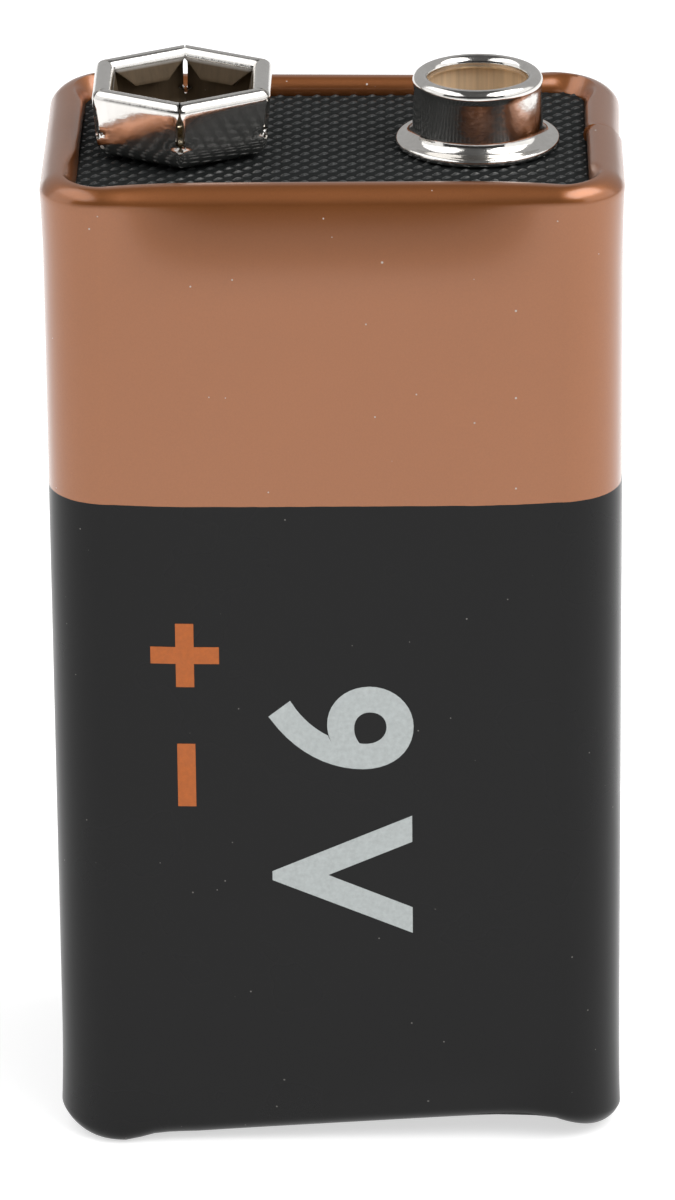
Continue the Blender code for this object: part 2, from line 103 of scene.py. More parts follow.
class JacketSizes(bpy.types.PropertyGroup):
    half_x: length("Half Length", "Middle of the jacket to its narrow end, before it bows", 12.5)
    half_y: length("Half Width", "Middle of the jacket to its broad face, before it bows", 8.4)
    corner: length("Corner Radius", "Upright corners of the jacket", 2.84)
    sheet: length("Sheet", "Thickness of the jacket's sheet", 0.2)
    bead: length("Bead Radius", "Roll at the top and bottom of the sheet", 0.75)
    high_bead: length("Upper Bead Height", "Centre of the upper roll", 44.538)
    low_bead: length("Lower Bead Height", "Centre of the lower roll", 1.0)
    curl: angle("Curl", "How far the roll turns under past level", 15)
    face_bow: length("Face Bow", "How far a broad face swells in the middle", 0.34)
    end_bow: length("End Bow", "How far a narrow end swells in the middle", 0.1)
    rim_press: length("Rim Press", "How far the roll is pressed in along a broad face", 0.25)
    press_reach: length("Press Reach", "Height over which the pressed rim runs out", 4.4)
    foot_rise: length("Foot Rise", "Height over which the drop of a foot runs out", 4.4)
    gather: amount("Gather", "How much flatter the roll's inner half lies round a corner", 0.5)
    foot_drop: length("Foot Drop", "How far the lower corners stand down", 0.25)
    foot_reach: length("Foot Reach", "Length over which a foot runs out", 1.7)
    seam_y: length("Seam Place", "Edge of the lap on the narrow end", 0.3)
    seam_step: length("Seam Step", "Height of the lap's edge", 0.1)
    seam_groove: length("Seam Groove", "Depth of the crease beside the lap's edge", 0.09)
    band: length("Band Height", "Where the black field ends and the copper field starts", 30.98)
    corner_steps: IntProperty(name="Corner Steps", description="Faces round a corner", default=16)
    face_steps: IntProperty(name="Face Steps", description="Faces along a broad side", default=30)
    end_steps: IntProperty(name="End Steps", description="Faces along a narrow end", default=44)
    flare: length("Flare", "How far both rolls stand out past a narrow end", 0.1)
    foot_slope: length("Foot Slope", "Rise of the lower roll to the right, in front", 0.9)
    rim_warp: length("Rim Warp", "Fall of the upper roll to the right, at the back", 0.12)
    fold_drop: length("Fold Drop", "How far the roll's free edge is folded down by a corner", 0.42)
    fold_run: length("Fold Run", "Length of the ramp at a fold's edge", 0.5)
    end_lift: length("End Lift", "How far the lower roll's left end stands up", 0.35)


class BoardSizes(bpy.types.PropertyGroup):
    edge_inset: length("Edge Inset", "Room between the jacket's outline and a plate's edge", 0.28)
    panel_inset: length("Panel Inset", "Jacket's outline to the raised panel", 1.53)
    thread_x: length("Thread Pitch X", "Half the spacing of the threads along a row", 0.41)
    thread_y: length("Thread Pitch Y", "Spacing of the rows of threads", 0.46)
    thread_length: length("Thread Length", "Half the length of one thread", 0.26)
    thread_width: length("Thread Width", "Half the width of one thread", 0.125)
    thread_lean: angle("Thread Lean", "Slant of a thread to its row", 40)
    emboss: length("Emboss", "Height of the embossed weave", 0.095)
    grid_x: length("Grid X", "Width of the faces that carry the weave", 0.088)
    grid_y: length("Grid Y", "Depth of the faces that carry the weave", 0.048)
    hole: length("Hole Radius", "Holes for the eyelets", 1.05)


class StudSizes(bpy.types.PropertyGroup):
    bead: length("Bead Radius", "Outside of the hemmed mouth", 2.84)
    body: length("Body Radius", "Outside of the cup", 2.78)
    throat: length("Throat Radius", "Inside of the hemmed mouth", 2.15)
    flange: length("Flange Radius", "Outside of the flange", 3.59)
    height: length("Height", "Board to the top of the mouth", 3.165)
    taper: length("Taper", "How far the cup widens towards the cove", 0.07)
    cove: length("Cove", "Hollow between the cup and the flange", 0.55)
    lip: length("Lip Height", "Top of the flange over the board", 0.32)
    sheet: length("Sheet", "Thickness of the terminals' sheet", 0.25)
    hole: length("Hole Radius", "Hole in the floor", 1.05)
    steps: IntProperty(name="Steps", description="Faces round the stud", default=96)


class SocketSizes(bpy.types.PropertyGroup):
    crest: length("Crest", "Middle to the flat outside of the rolled crest", 3.875)
    waist: length("Waist", "Middle to the flat outside of the wall at its foot", 3.72)
    height: length("Height", "Board to the top of the crest", 3.155)
    roll: length("Roll Radius", "Rolled crest of a petal", 0.43)
    heel: length("Heel Radius", "Bend from the floor to the wall", 0.9)
    hole: length("Hole", "Middle to the flats of the hole in the floor", 1.15)
    leg: length("Leg", "Middle to the inside of a spring leg", 2.8)
    leg_drop: length("Leg Drop", "Crest to a leg's free end", 1.25)
    leg_edge: length("Leg Edge", "Width of a leg's free end", 1.7)
    slit: length("Slit", "Width of the gap between two petals", 0.3)
    slit_top: length("Slit At Crest", "Width of the gap where the crests meet", 0.06)
    corner: length("Corner Radius", "Rounding of the wall beside a slit", 0.55)
    sheet: length("Sheet", "Thickness of the terminals' sheet", 0.25)


class EyeletSizes(bpy.types.PropertyGroup):
    radius: length("Barrel Radius", "Outside of the tube", 1.0)
    wall: length("Wall", "Thickness of the tube", 0.2)
    head: length("Head Radius", "Outside of the head and of the flared tail", 1.55)
    thick: length("Head Thickness", "Thickness of the head", 0.2)


class PrintSizes(bpy.types.PropertyGroup):
    lift: length("Film", "Thickness of the ink over the jacket", 0.012)
    figure: length("Figure Size", "Height of the plain figures", 8.4)
    mark: length("Mark Size", "Length of a pole mark's bar", 3.0)
    bar: length("Bar Width", "Width of a pole mark's bar", 0.8)


class Colours(bpy.types.PropertyGroup):
    copper: colour("Copper Lacquer", "Upper field of the jacket", (0.29, 0.094, 0.023))
    black: colour("Black Lacquer", "Lower field of the jacket", (0.007, 0.007, 0.0072))
    white_ink: colour("White Ink", "Plain figures", (0.50, 0.535, 0.53))
    orange_ink: colour("Orange Ink", "Pole marks", (0.48, 0.113, 0.01))
    board: colour("Board", "Terminal board and base plate", (0.011, 0.012, 0.012))
    nickel: colour("Nickel", "Terminals and strips", (0.73, 0.71, 0.68))
    dull_nickel: colour("Dull Nickel", "Inside of the stud", (0.74, 0.58, 0.40))
    # Painted shade: the dark colour laid deep inside the socket, where shade falls
    socket_shade: colour("Painted Socket Shade", "Inside of the socket", (0.10, 0.068, 0.038))
    brass: colour("Brass", "Eyelets", (0.55, 0.47, 0.33))
    steel: colour("Cell Steel", "Cells", (0.55, 0.55, 0.53))
    card: colour("Card", "Insulating cards", (0.42, 0.40, 0.34))
    paper: colour("Paper", "Tube round the cells", (0.50, 0.34, 0.20))
    dust: colour("Dust", "Specks on the surfaces", (0.62, 0.60, 0.56))


class StudioSizes(bpy.types.PropertyGroup):
    camera_x: length("Camera X", "Camera's place to the right of the middle", 4.1247, -1000)
    camera_y: length("Camera Y", "Camera's place behind the middle", -315.765, -1000)
    camera_z: length("Camera Z", "Camera's height over the floor", 153.6)
    pitch: angle("Pitch", "Camera's angle below level", 22.47025)
    yaw: angle("Yaw", "Camera's turn to the right", -0.75123)
    roll: angle("Roll", "Camera's lean", -0.56561)
    lens: FloatProperty(name="Lens", description="Focal length over a 36 mm sensor, in mm",
                        default=229.06)
    sky: amount("Sky", "Brightness of the room's light", 0.45, 0.0, 2.0)
    left_box: amount("Left Soft Box", "Brightness of the left soft box", 1.3, 0.0, 5.0)
    right_box: amount("Right Soft Box", "Brightness of the right soft box", 3.5, 0.0, 5.0)
    floor: amount("Floor", "Paleness of the floor", 0.60)


class Battery(bpy.types.PropertyGroup):
    jacket: PointerProperty(type=JacketSizes, name="Jacket", description="Jacket sizes")
    board: PointerProperty(type=BoardSizes, name="Board", description="Board and plate sizes")
    stud: PointerProperty(type=StudSizes, name="Stud", description="Stud sizes")
    socket: PointerProperty(type=SocketSizes, name="Socket", description="Socket sizes")
    eyelet: PointerProperty(type=EyeletSizes, name="Eyelets", description="Eyelet sizes")
    print: PointerProperty(type=PrintSizes, name="Print", description="Plain print sizes")
    colours: PointerProperty(type=Colours, name="Colours", description="Colours of the pieces")
    studio: PointerProperty(type=StudioSizes, name="Studio", description="Camera and light")


def sizes():
    return bpy.context.scene.nine_volt_battery


# ---- Modelling by hand ----

def pick(thing):
    """Makes one object the only one selected, and the active one."""
    bpy.ops.object.select_all(action="DESELECT")
    thing.select_set(True)
    bpy.context.view_layer.objects.active = thing


def open_mesh(thing):
    """Goes into edit mode with nothing selected."""
    pick(thing)
    bpy.ops.object.mode_set(mode="EDIT")
    bpy.ops.mesh.select_all(action="DESELECT")


def close_mesh(smooth):
    """Leaves edit mode and smooths the active piece over edges flatter than the angle."""
    bpy.ops.object.mode_set(mode="OBJECT")
    bpy.ops.object.shade_smooth_by_angle(angle=math.radians(smooth))


def heal(reach=None):
    """Merges all points nearer to each other than the reach and turns the faces outwards."""
    bpy.ops.mesh.select_all(action="SELECT")
    if reach:
        bpy.ops.mesh.remove_doubles(threshold=reach)
    bpy.ops.mesh.normals_make_consistent(inside=False)


def name_piece(thing, name):
    thing.name = thing.data.name = name
    return thing


def draw_line(name, points):
    """Draws a line through the points by extruding one vertex on and on; stays in edit mode."""
    bpy.ops.object.select_all(action="DESELECT")
    bpy.ops.mesh.primitive_plane_add(size=MM)
    line = name_piece(bpy.context.object, name)
    bpy.ops.object.mode_set(mode="EDIT")
    bpy.ops.mesh.select_all(action="SELECT")
    bpy.ops.mesh.merge(type="CENTER")
    bpy.ops.transform.translate(value=points[0])
    for here, there in zip(points, points[1:]):
        bpy.ops.mesh.extrude_vertices_move(TRANSFORM_OT_translate={"value": there - here})
    bpy.ops.mesh.select_all(action="SELECT")
    return line


def arc(centre, radius, start, end, steps):
    """Points on a circle in the section plane, from the start to the end angle in degrees."""
    angles = [math.radians(start + (end - start) * i / steps) for i in range(steps + 1)]
    return [(centre[0] + radius * math.cos(a), centre[1] + radius * math.sin(a)) for a in angles]


def turn_section(name, section, centre, steps):
    """Spins a closed section of (radius, height) points once round an upright axis."""
    points = [Vector((centre[0] + radius, centre[1], centre[2] + height))
              for radius, height in section]
    thing = draw_line(name, points + points[:1])
    bpy.ops.mesh.remove_doubles(threshold=0.0005 * MM)
    bpy.ops.mesh.spin(steps=steps, angle=2 * math.pi, center=centre, axis=(0, 0, 1))
    heal(0.0005 * MM)
    return thing


def apply_modifier(thing, kind, **settings):
    pick(thing)
    modifier = thing.modifiers.new(kind.title(), kind)
    for setting, value in settings.items():
        setattr(modifier, setting, value)
    bpy.ops.object.modifier_apply(modifier=modifier.name)


def join(pieces, name):
    pick(pieces[0])
    for piece in pieces:
        piece.select_set(True)
    bpy.ops.object.join()
    return name_piece(bpy.context.object, name)


def seat(thing, material, slot, *nodes):
    """Finishes a piece: it rides on the body and stands for the CAD nodes."""
    thing.data.materials.clear()
    thing.data.materials.append(material)
    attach(thing, "root")
    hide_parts(*nodes)


def read_places(thing):
    places = np.empty(len(thing.data.vertices) * 3)
    thing.data.vertices.foreach_get("co", places)
    return places.reshape(-1, 3)


def write_places(thing, places):
    thing.data.vertices.foreach_set("co", places.reshape(-1))
    thing.data.update()


def ease(value):
    """Smooth rise from 0 to 1."""
    value = np.clip(value, 0.0, 1.0)
    return value * value * (3 - 2 * value)


def crown(share):
    """How fully a side swells along its length, -1 to 1: nothing at its ends."""
    return (1 - np.clip(share, -1, 1) ** 6) ** 1.2


def plan_place(places, jacket):
    """The inner corner of the plan, how far each place lies past it, and which are on an end."""
    core = np.array([jacket.half_x - jacket.corner, jacket.half_y - jacket.corner])
    across = np.abs(places[:, :2]) - core
    return core, across, (across[:, 1] <= HAIR) & (across[:, 0] > 0)


def face_swell(places, jacket):
    """How far a broad face or a narrow end swells at each place, and the way out there."""
    core, across, on_end = plan_place(places, jacket)
    out = np.zeros_like(places)
    on_face = (across[:, 0] <= HAIR) & (across[:, 1] > 0)
    share = np.where(on_end, places[:, 1] / core[1], places[:, 0] / core[0])
    out[on_end, 0] = np.sign(places[on_end, 0])
    out[on_face, 1] = np.sign(places[on_face, 1])
    swell = np.where(on_end, jacket.end_bow, np.where(on_face, jacket.face_bow, 0.0))
    bow = crown(share) * swell
    reach = np.where(on_end, core[1], core[0])
    foot = 1 - ease((1 - np.abs(share)) * reach / jacket.foot_reach)
    foot[~(on_end | on_face)] = 1.0
    return bow, out, foot


def end_place(places, jacket):
    """Over the roll's inner half, how near a corner's middle, and how squarely to an end."""
    _, across, on_end = plan_place(places, jacket)
    in_corner = (across > HAIR).all(axis=1)
    reach = np.maximum(np.hypot(across[:, 0], across[:, 1]), HAIR)
    inset = np.where(in_corner, jacket.corner - reach, jacket.corner - across[:, 0])
    inner = np.where(in_corner | on_end, np.clip(inset / jacket.bead - 1, 0, 1), 0.0)
    gather = np.sin(2 * np.arctan2(np.abs(across[:, 1]), np.abs(across[:, 0])))
    endwards = np.where(in_corner, across[:, 0] / reach, np.where(on_end, 1.0, 0.0))
    return inner, np.where(in_corner, gather, 0.0), endwards


def fold_depth(places, inner, endwards, jacket):
    """How far the roll's inner side is folded down where an end meets a corner."""
    right, back = places[:, 0] > 0, places[:, 1] > 0
    right_back, right_front, left_back, left_front = FOLD_REACHES
    reach = np.where(right, np.where(back, right_back, right_front),
                     np.where(back, left_back, left_front))
    from_corner = np.clip(jacket.half_y - jacket.corner - np.abs(places[:, 1]), 0, None)
    left_over = (reach * inner ** 0.6 - from_corner) / jacket.fold_run
    return jacket.fold_drop * inner * np.clip(left_over, 0, 1) * endwards ** 2


def seam_depth(places, inner, jacket):
    """How far the sheet lies in behind the lap: a step, a crease, and a slow run-out."""
    y = places[:, 1]
    reach = jacket.half_y - jacket.corner
    behind = (places[:, 0] > jacket.half_x - jacket.corner) & (y > jacket.seam_y - 0.01 * MM)
    run = 1 - ease((y - jacket.seam_y) / (reach - jacket.seam_y))
    crease = np.exp(-np.clip(y - jacket.seam_y, 0, None) / CREASE_RUN)
    depth = jacket.seam_step * run * (1 - 0.7 * inner) + jacket.seam_groove * crease
    return np.where(behind & (y <= reach), depth, 0.0)


def run_round(jacket):
    """Extrudes what is selected once round the jacket's plan, from the lap counter-clockwise."""
    core_x, core_y = jacket.half_x - jacket.corner, jacket.half_y - jacket.corner
    lap = [jacket.seam_y + step for step in LAP_STEPS]
    half = jacket.end_steps // 2
    rest = [lap[-1] + (core_y - lap[-1]) * i / half for i in range(1, half + 1)]
    face = [2 * core_x / jacket.face_steps] * jacket.face_steps
    end = [2 * core_y / jacket.end_steps] * jacket.end_steps
    sides = [
        ((0, 1, 0), [b - a for a, b in zip(lap + rest, lap[1:] + rest)], (core_x, core_y)),
        ((-1, 0, 0), face, (-core_x, core_y)),
        ((0, -1, 0), end, (-core_x, -core_y)),
        ((1, 0, 0), face, (core_x, -core_y)),
        ((0, 1, 0), [(core_y + lap[0]) / half] * half, None),
    ]
    for way, steps, corner in sides:
        for step in steps:
            shift = Vector(way) * step
            bpy.ops.mesh.extrude_region_move(TRANSFORM_OT_translate={"value": shift})
        if corner:
            bpy.ops.mesh.spin(steps=jacket.corner_steps, angle=-math.pi / 2,
                              center=(*corner, 0), axis=(0, 0, 1))
    heal(0.002 * MM)


def sweep(name, section):
    """Runs a section of (inset, height) points round the jacket's plan; stays in edit mode."""
    jacket = sizes().jacket
    y = jacket.seam_y + LAP_STEPS[0]
    thing = draw_line(name, [Vector((jacket.half_x - inset, y, z)) for inset, z in section])
    run_round(jacket)
    return thing


# ---- Pieces ----

def jacket_section(jacket):
    """Outer face of the rolled sheet, from the free edge of the upper roll to that of the lower."""
    curl, bead = math.degrees(jacket.curl), jacket.bead
    top, bottom = jacket.high_bead, jacket.low_bead
    section = arc((bead, top), bead, -curl, 180, 26)
    section += [(0.0, top - jacket.press_reach * i / 18) for i in range(1, 19)]
    low = bottom + jacket.press_reach
    high = section[-1][1]
    section += [(0.0, high + (low - high) * i / 12) for i in range(1, 13)]
    section += [(0.0, low - jacket.press_reach * i / 18) for i in range(1, 18)]
    return section + arc((bead, bottom), bead, -180, curl, 26)


def bend_sheet(sheet, jacket):
    """Bows the faces, presses in the rims, steps the lap and draws down the four feet."""
    places = read_places(sheet)
    bow, out, foot = face_swell(places, jacket)
    height = places[:, 2].copy()
    nearest = np.minimum(jacket.high_bead - height, height - jacket.low_bead) / jacket.press_reach
    free = np.where(nearest < 0, 2 * nearest, 1 - (1 - np.minimum(nearest, 1)) ** 2)
    inner, gather, endwards = end_place(places, jacket)
    pressed = jacket.rim_press * bow / jacket.face_bow * (1 - endwards)
    push = bow * free - pressed * (1 - free) - seam_depth(places, inner, jacket)
    low_part = ease((jacket.low_bead + jacket.foot_rise - height) / jacket.foot_rise)
    slope = np.clip((places[:, 0] - SLOPE_START) / SLOPE_RUN, 0, 1) * (places[:, 1] < 0)
    lift = jacket.foot_slope * slope * (1 - endwards)
    lift = (lift + jacket.end_lift * endwards ** 4 * (places[:, 0] < 0)) * low_part
    drop = jacket.foot_drop * low_part * (1 - 0.5 * slope)
    back = np.clip(places[:, 1] / jacket.half_y, 0, 1)
    warp = jacket.rim_warp * ease(1 - nearest) * back * places[:, 0] / jacket.half_x
    over = np.clip(-nearest * jacket.press_reach / jacket.bead, 0, 1)
    flare = jacket.flare * np.clip(1 - nearest, 0, 1) ** 2 * (1 - 2.5 * over)
    flare *= endwards * np.sign(places[:, 0])
    fold = fold_depth(places, inner, endwards, jacket)
    is_top = height > jacket.band
    bead_z = np.where(is_top, jacket.high_bead, jacket.low_bead)
    places[:, 2] = bead_z + (height - bead_z) * (1 - jacket.gather * gather * inner)
    places += out * push[:, None]
    places[:, 0] += flare
    places[:, 2] += np.where(is_top, -fold - warp, fold + lift - drop * foot)
    write_places(sheet, places)


def make_jacket_sheet():
    jacket = sizes().jacket
    sheet = sweep("jacket_sheet", jacket_section(jacket))
    bpy.ops.object.mode_set(mode="OBJECT")
    bend_sheet(sheet, jacket)
    apply_modifier(sheet, "SOLIDIFY", thickness=jacket.sheet, offset=-1.0, use_even_offset=True)
    close_mesh(40)
    seat(sheet, printed_lacquer(), "jacket", "jacket")


def bend_plate(plate, jacket):
    """Fits a plate to the pressed sides of the jacket."""
    places = read_places(plate)
    bow, out, _ = face_swell(places, jacket)
    places -= out * (bow * jacket.rim_press / jacket.face_bow)[:, None]
    write_places(plate, places)


def cap(height):
    """Closes the open rim at a height with one face."""
    bpy.ops.mesh.select_all(action="DESELECT")
    bpy.ops.object.mode_set(mode="OBJECT")
    mesh = bpy.context.object.data
    for edge in mesh.edges:
        edge.select = all(abs(mesh.vertices[v].co.z - height) < 0.001 * MM for v in edge.vertices)
    bpy.ops.object.mode_set(mode="EDIT")
    bpy.ops.mesh.edge_face_add()


def drill(thing, radius, places):
    """Cuts round holes through a plate, upright, on (x, y) places."""
    low, high = Vector(thing.bound_box[0]), Vector(thing.bound_box[6])
    for x, y in places:
        bpy.ops.object.select_all(action="DESELECT")
        bpy.ops.mesh.primitive_cylinder_add(vertices=48, radius=radius, depth=6 * MM,
                                            location=(x, y, (low.z + high.z) / 2))
        drill_bit = bpy.context.object
        apply_modifier(thing, "BOOLEAN", object=drill_bit, operation="DIFFERENCE", solver="EXACT")
        bpy.data.objects.remove(drill_bit)


def terminal_places():
    return [(node_centre(node).x, 0.0) for node in ("negative_terminal", "positive_terminal")]


def make_plate(name, section):
    """A flat plate with the jacket's plan, from the (inset, height) points of its edge."""
    plate = sweep(name, section)
    for _, height in (section[0], section[-1]):
        cap(height)
    heal()
    bpy.ops.object.mode_set(mode="OBJECT")
    bend_plate(plate, sizes().jacket)
    return plate


def weave_height(x, y, board):
    """Embossed weave: short slanted threads, each row set between those of the next."""
    u, v = x / board.thread_x, y / board.thread_y
    rising, falling = (u + v) / 2, (u - v) / 2
    rising, falling = rising - np.round(rising), falling - np.round(falling)
    along = (rising + falling) * board.thread_x
    back = (rising - falling) * board.thread_y
    lean = board.thread_lean
    length = (along * math.cos(lean) + back * math.sin(lean)) / board.thread_length
    width = (back * math.cos(lean) - along * math.sin(lean)) / board.thread_width
    return board.emboss * (np.clip(1 - length ** 2 - width ** 2, 0, 1) - 0.5)


def make_weave_panel(board, jacket, top, floor):
    """The raised panel: a fine grid drawn in to the rounded outline, embossed, with its sides."""
    half_y = jacket.half_y - board.panel_inset
    half_x = jacket.half_x - board.panel_inset + 0.9 * jacket.flare
    radius = jacket.corner - board.panel_inset
    columns, rows = round(2 * half_x / board.grid_x), round(2 * half_y / board.grid_y)
    bpy.ops.object.select_all(action="DESELECT")
    bpy.ops.mesh.primitive_grid_add(x_subdivisions=columns, y_subdivisions=rows, size=2)
    panel = name_piece(bpy.context.object, "weave_panel")
    places = read_places(panel)
    share_x, share_y = places[:, 0].copy(), places[:, 1].copy()
    y = share_y * half_y
    into = np.clip(np.abs(y) - (half_y - radius), 0, radius)
    width = half_x - radius + np.sqrt(np.clip(radius ** 2 - into ** 2, 0, None))
    x = share_x * width
    places[:, 0] = x
    places[:, 1] = y - share_y * crown(x / (jacket.half_x - jacket.corner)) * jacket.rim_press
    edge = np.minimum((1 - np.abs(share_x)) * half_x, (1 - np.abs(share_y)) * half_y)
    rounding = (1 - np.clip(edge / PANEL_ROUNDING, 0, 1)) ** 2
    weave = weave_height(x, places[:, 1], board)
    places[:, 2] = top + weave * (1 - rounding) - PANEL_FALL * rounding
    write_places(panel, places)
    open_mesh(panel)
    bpy.ops.mesh.select_all(action="SELECT")
    bpy.ops.mesh.region_to_loop()
    bpy.ops.mesh.extrude_region_move()
    bpy.ops.transform.resize(value=(1, 1, 0), center_override=(0, 0, floor))
    bpy.ops.mesh.edge_face_add()
    heal()
    bpy.ops.object.mode_set(mode="OBJECT")
    return panel


def make_terminal_board():
    board, jacket = sizes().board, sizes().jacket
    low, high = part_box("terminal_board")
    step = 0.3 * MM
    ledge = make_plate("ledge", [(board.edge_inset, high.z - step),
                                 (board.edge_inset, low.z)])
    panel = make_weave_panel(board, jacket, high.z, high.z - step - 0.02 * MM)
    for plate in (ledge, panel):
        drill(plate, board.hole, terminal_places())
    whole = join([panel, ledge], "woven_board")
    close_mesh(50)
    seat(whole, embossed_board(), "board", "terminal_board")


def make_base_plate():
    board = sizes().board
    low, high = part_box("base_plate")
    step, round_off = 0.45 * MM, 0.06 * MM
    panel = board.panel_inset
    section = [(panel + round_off, low.z), (panel, low.z + round_off), (panel, low.z + step),
               (board.edge_inset, low.z + step), (board.edge_inset, high.z)]
    plate = make_plate("closing_plate", section)
    close_mesh(30)
    seat(plate, base_fibre(), "board", "base_plate")


def stud_section(stud):
    """Section of the drawn cup: hemmed mouth, wall, cove, flange, floor and inside."""
    sheet = stud.sheet
    hem = (stud.bead - stud.throat) / 2
    mouth = (stud.bead - hem, stud.height - hem)
    cove = (stud.body + stud.taper + stud.cove, stud.lip + stud.cove)
    inside = stud.body - sheet
    tuck = 0.16 * MM
    section = arc(mouth, hem, 215, -25, 26)
    section += [(stud.body + 0.02 * MM, mouth[1] - hem * 0.75), (stud.body, mouth[1] - hem)]
    section += arc(cove, stud.cove, 180, 262, 14)
    lip = (stud.flange - tuck, stud.lip - tuck)
    section += arc(lip, tuck, 90, 0, 6)
    section += [(stud.flange, 0.06 * MM), (stud.flange - 0.06 * MM, 0.0)]
    section += [(stud.hole, 0.0), (stud.hole, sheet)]
    section += arc((inside - sheet, 2 * sheet), sheet, -90, 0, 6)
    section += [(inside, mouth[1] - hem)]
    return section + arc(mouth, hem - sheet, 0, 215, 12)


def make_stud():
    stud = sizes().stud
    centre = node_centre("positive_terminal")
    centre.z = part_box("positive_terminal")[0].z
    piece = turn_section("snap_stud", stud_section(stud), centre, stud.steps)
    close_mesh(60)
    finish = nickel_plate("Stud Nickel", centre, stud.throat, stud.height,
                          sizes().colours.dull_nickel)
    seat(piece, finish, "nickel", "positive_terminal")


def petal_line(socket):
    """Middle of the sheet down one petal: (flat distance, height, gap to the slit's middle)."""
    half = socket.sheet / 2
    roll = (socket.crest - socket.roll, socket.height - socket.roll)
    heel = (socket.waist - socket.heel, socket.heel)
    radius = socket.roll - half
    line = [(socket.hole + (heel[0] - socket.hole) * i / 4, half) for i in range(4)]
    line += arc(heel, socket.heel - half, -90, 0, 10)
    foot, top = line[-1], (roll[0] + radius, roll[1])
    line += [(foot[0] + (top[0] - foot[0]) * s, foot[1] + (top[1] - foot[1]) * s)
             for s in (0.02, 0.05, 0.09, 0.15, 0.25, 0.38, 0.52, 0.66, 0.8, 0.9)]
    line += arc(roll, radius, 0, 180, 20)
    low = socket.height - socket.leg_drop
    inner = socket.leg + half
    bent = line[-1]
    line += [(bent[0] + (inner - bent[0]) * s, bent[1] + (low - bent[1]) * s)
             for s in (0.12, 0.28, 0.46, 0.64, 0.82, 1.0)]
    gaps = []
    neck = roll[1]
    for number, (flat, height) in enumerate(line):
        if number <= HEEL_END:
            gaps.append(0.0)
        elif number <= WALL_END:
            opened = min((height - foot[1]) / (0.16 * MM), 1.0)
            closing = ease(np.array((height - neck + 0.5 * MM) / (0.5 * MM)))
            wide = socket.slit / 2 * (1 - closing) + socket.slit_top / 2 * closing
            gaps.append(float(wide) * math.sqrt(max(opened, 0.0)))
        elif number <= CREST_END:
            gaps.append(socket.slit_top / 2)
        else:
            fall = (neck - height) / (neck - low)
            full = flat * math.tan(LEAN) - socket.leg_edge / 2
            gaps.append(socket.slit_top / 2 + fall * (full * math.cos(LEAN)))
    return [(flat, height, gap) for (flat, height), gap in zip(line, gaps)]


def petal_place(socket, flat, gap, share):
    """Place across a petal, -1 to 1: straight in the middle, rounded towards the slit."""
    rounding = socket.corner - (socket.crest - flat)
    side = 1 if share > 0 else -1
    share = abs(share)
    half = flat * math.tan(LEAN)
    if rounding > 1.2 * gap and rounding > 0.02 * MM:
        straight = half - rounding * math.tan(LEAN)
        turn = LEAN - math.asin(min(gap / rounding, 1.0))
        if share < 0.6:
            return flat, side * straight * share / 0.6
        angle = turn * (share - 0.6) / 0.4
        return (flat - rounding * (1 - math.cos(angle)),
                side * (straight + rounding * math.sin(angle)))
    return flat, side * (half - gap / math.cos(LEAN)) * share


def make_petal(socket, centre):
    """One petal: a flat blank, a grid of its own, bent up, rolled over and drawn to a leg."""
    line = petal_line(socket)
    columns = 20
    bpy.ops.object.select_all(action="DESELECT")
    bpy.ops.mesh.primitive_grid_add(x_subdivisions=columns, y_subdivisions=len(line) - 1, size=2)
    petal = name_piece(bpy.context.object, "petal")
    places = read_places(petal)
    rows = np.rint((places[:, 1] + 1) / 2 * (len(line) - 1)).astype(int)
    for number, (share, row) in enumerate(zip(places[:, 0], rows)):
        flat, height, gap = line[row]
        out, along = petal_place(socket, flat, gap, share)
        places[number] = (centre.x + out, centre.y + along, centre.z + height)
    write_places(petal, places)
    return petal


def make_socket():
    socket = sizes().socket
    centre = node_centre("negative_terminal")
    centre.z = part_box("negative_terminal")[0].z
    petals = [make_petal(socket, centre)]
    for number in range(1, 6):
        pick(petals[0])
        bpy.ops.object.duplicate()
        petals.append(bpy.context.object)
        open_mesh(petals[-1])
        bpy.ops.mesh.select_all(action="SELECT")
        bpy.ops.transform.rotate(value=math.radians(60 * number), orient_axis="Z",
                                 center_override=centre)
        bpy.ops.object.mode_set(mode="OBJECT")
    whole = join(petals, "snap_socket")
    open_mesh(whole)
    heal(0.003 * MM)
    bpy.ops.object.mode_set(mode="OBJECT")
    apply_modifier(whole, "SOLIDIFY", thickness=socket.sheet, offset=0.0)
    apply_modifier(whole, "BEVEL", width=0.06 * MM, segments=3, limit_method="ANGLE",
                   angle_limit=math.radians(65))
    close_mesh(40)
    # The socket's deep inside gets a painted shade
    finish = nickel_plate("Socket Nickel", centre, socket.leg, socket.height,
                          sizes().colours.socket_shade)
    seat(whole, finish, "nickel", "negative_terminal")


def eyelet_section(eyelet, low, high):
    """Section of a tubular rivet: rolled head, barrel and flared tail."""
    bore = eyelet.radius - eyelet.wall
    half = eyelet.thick / 2
    rolled = eyelet.head - half
    section = arc((bore + half, high - half), half, 180, 90, 5)
    section += arc((rolled, high - half), half, 90, -90, 8)
    section += [(eyelet.radius, high - eyelet.thick), (eyelet.radius, low + eyelet.thick)]
    section += arc((rolled, low + half), half, 90, -90, 8)
    return section + arc((bore + half, low + half), half, -90, -180, 5)


def make_eyelets():
    eyelet = sizes().eyelet
    finish = lined_metal("Rolled Brass", sizes().colours.brass, 2500.0, 700.0,
                         (0.3, (0.30, 0.25, 0.17)), (0.22, 0.4), 0.004 * MM)
    for name, node in (("stud_rivet", "positive_eyelet"), ("socket_rivet", "negative_eyelet")):
        low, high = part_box(node)
        centre = Vector(((low.x + high.x) / 2, (low.y + high.y) / 2, 0.0))
        piece = turn_section(name, eyelet_section(eyelet, low.z, high.z), centre, 64)
        close_mesh(50)
        seat(piece, finish, "eyelet", node)


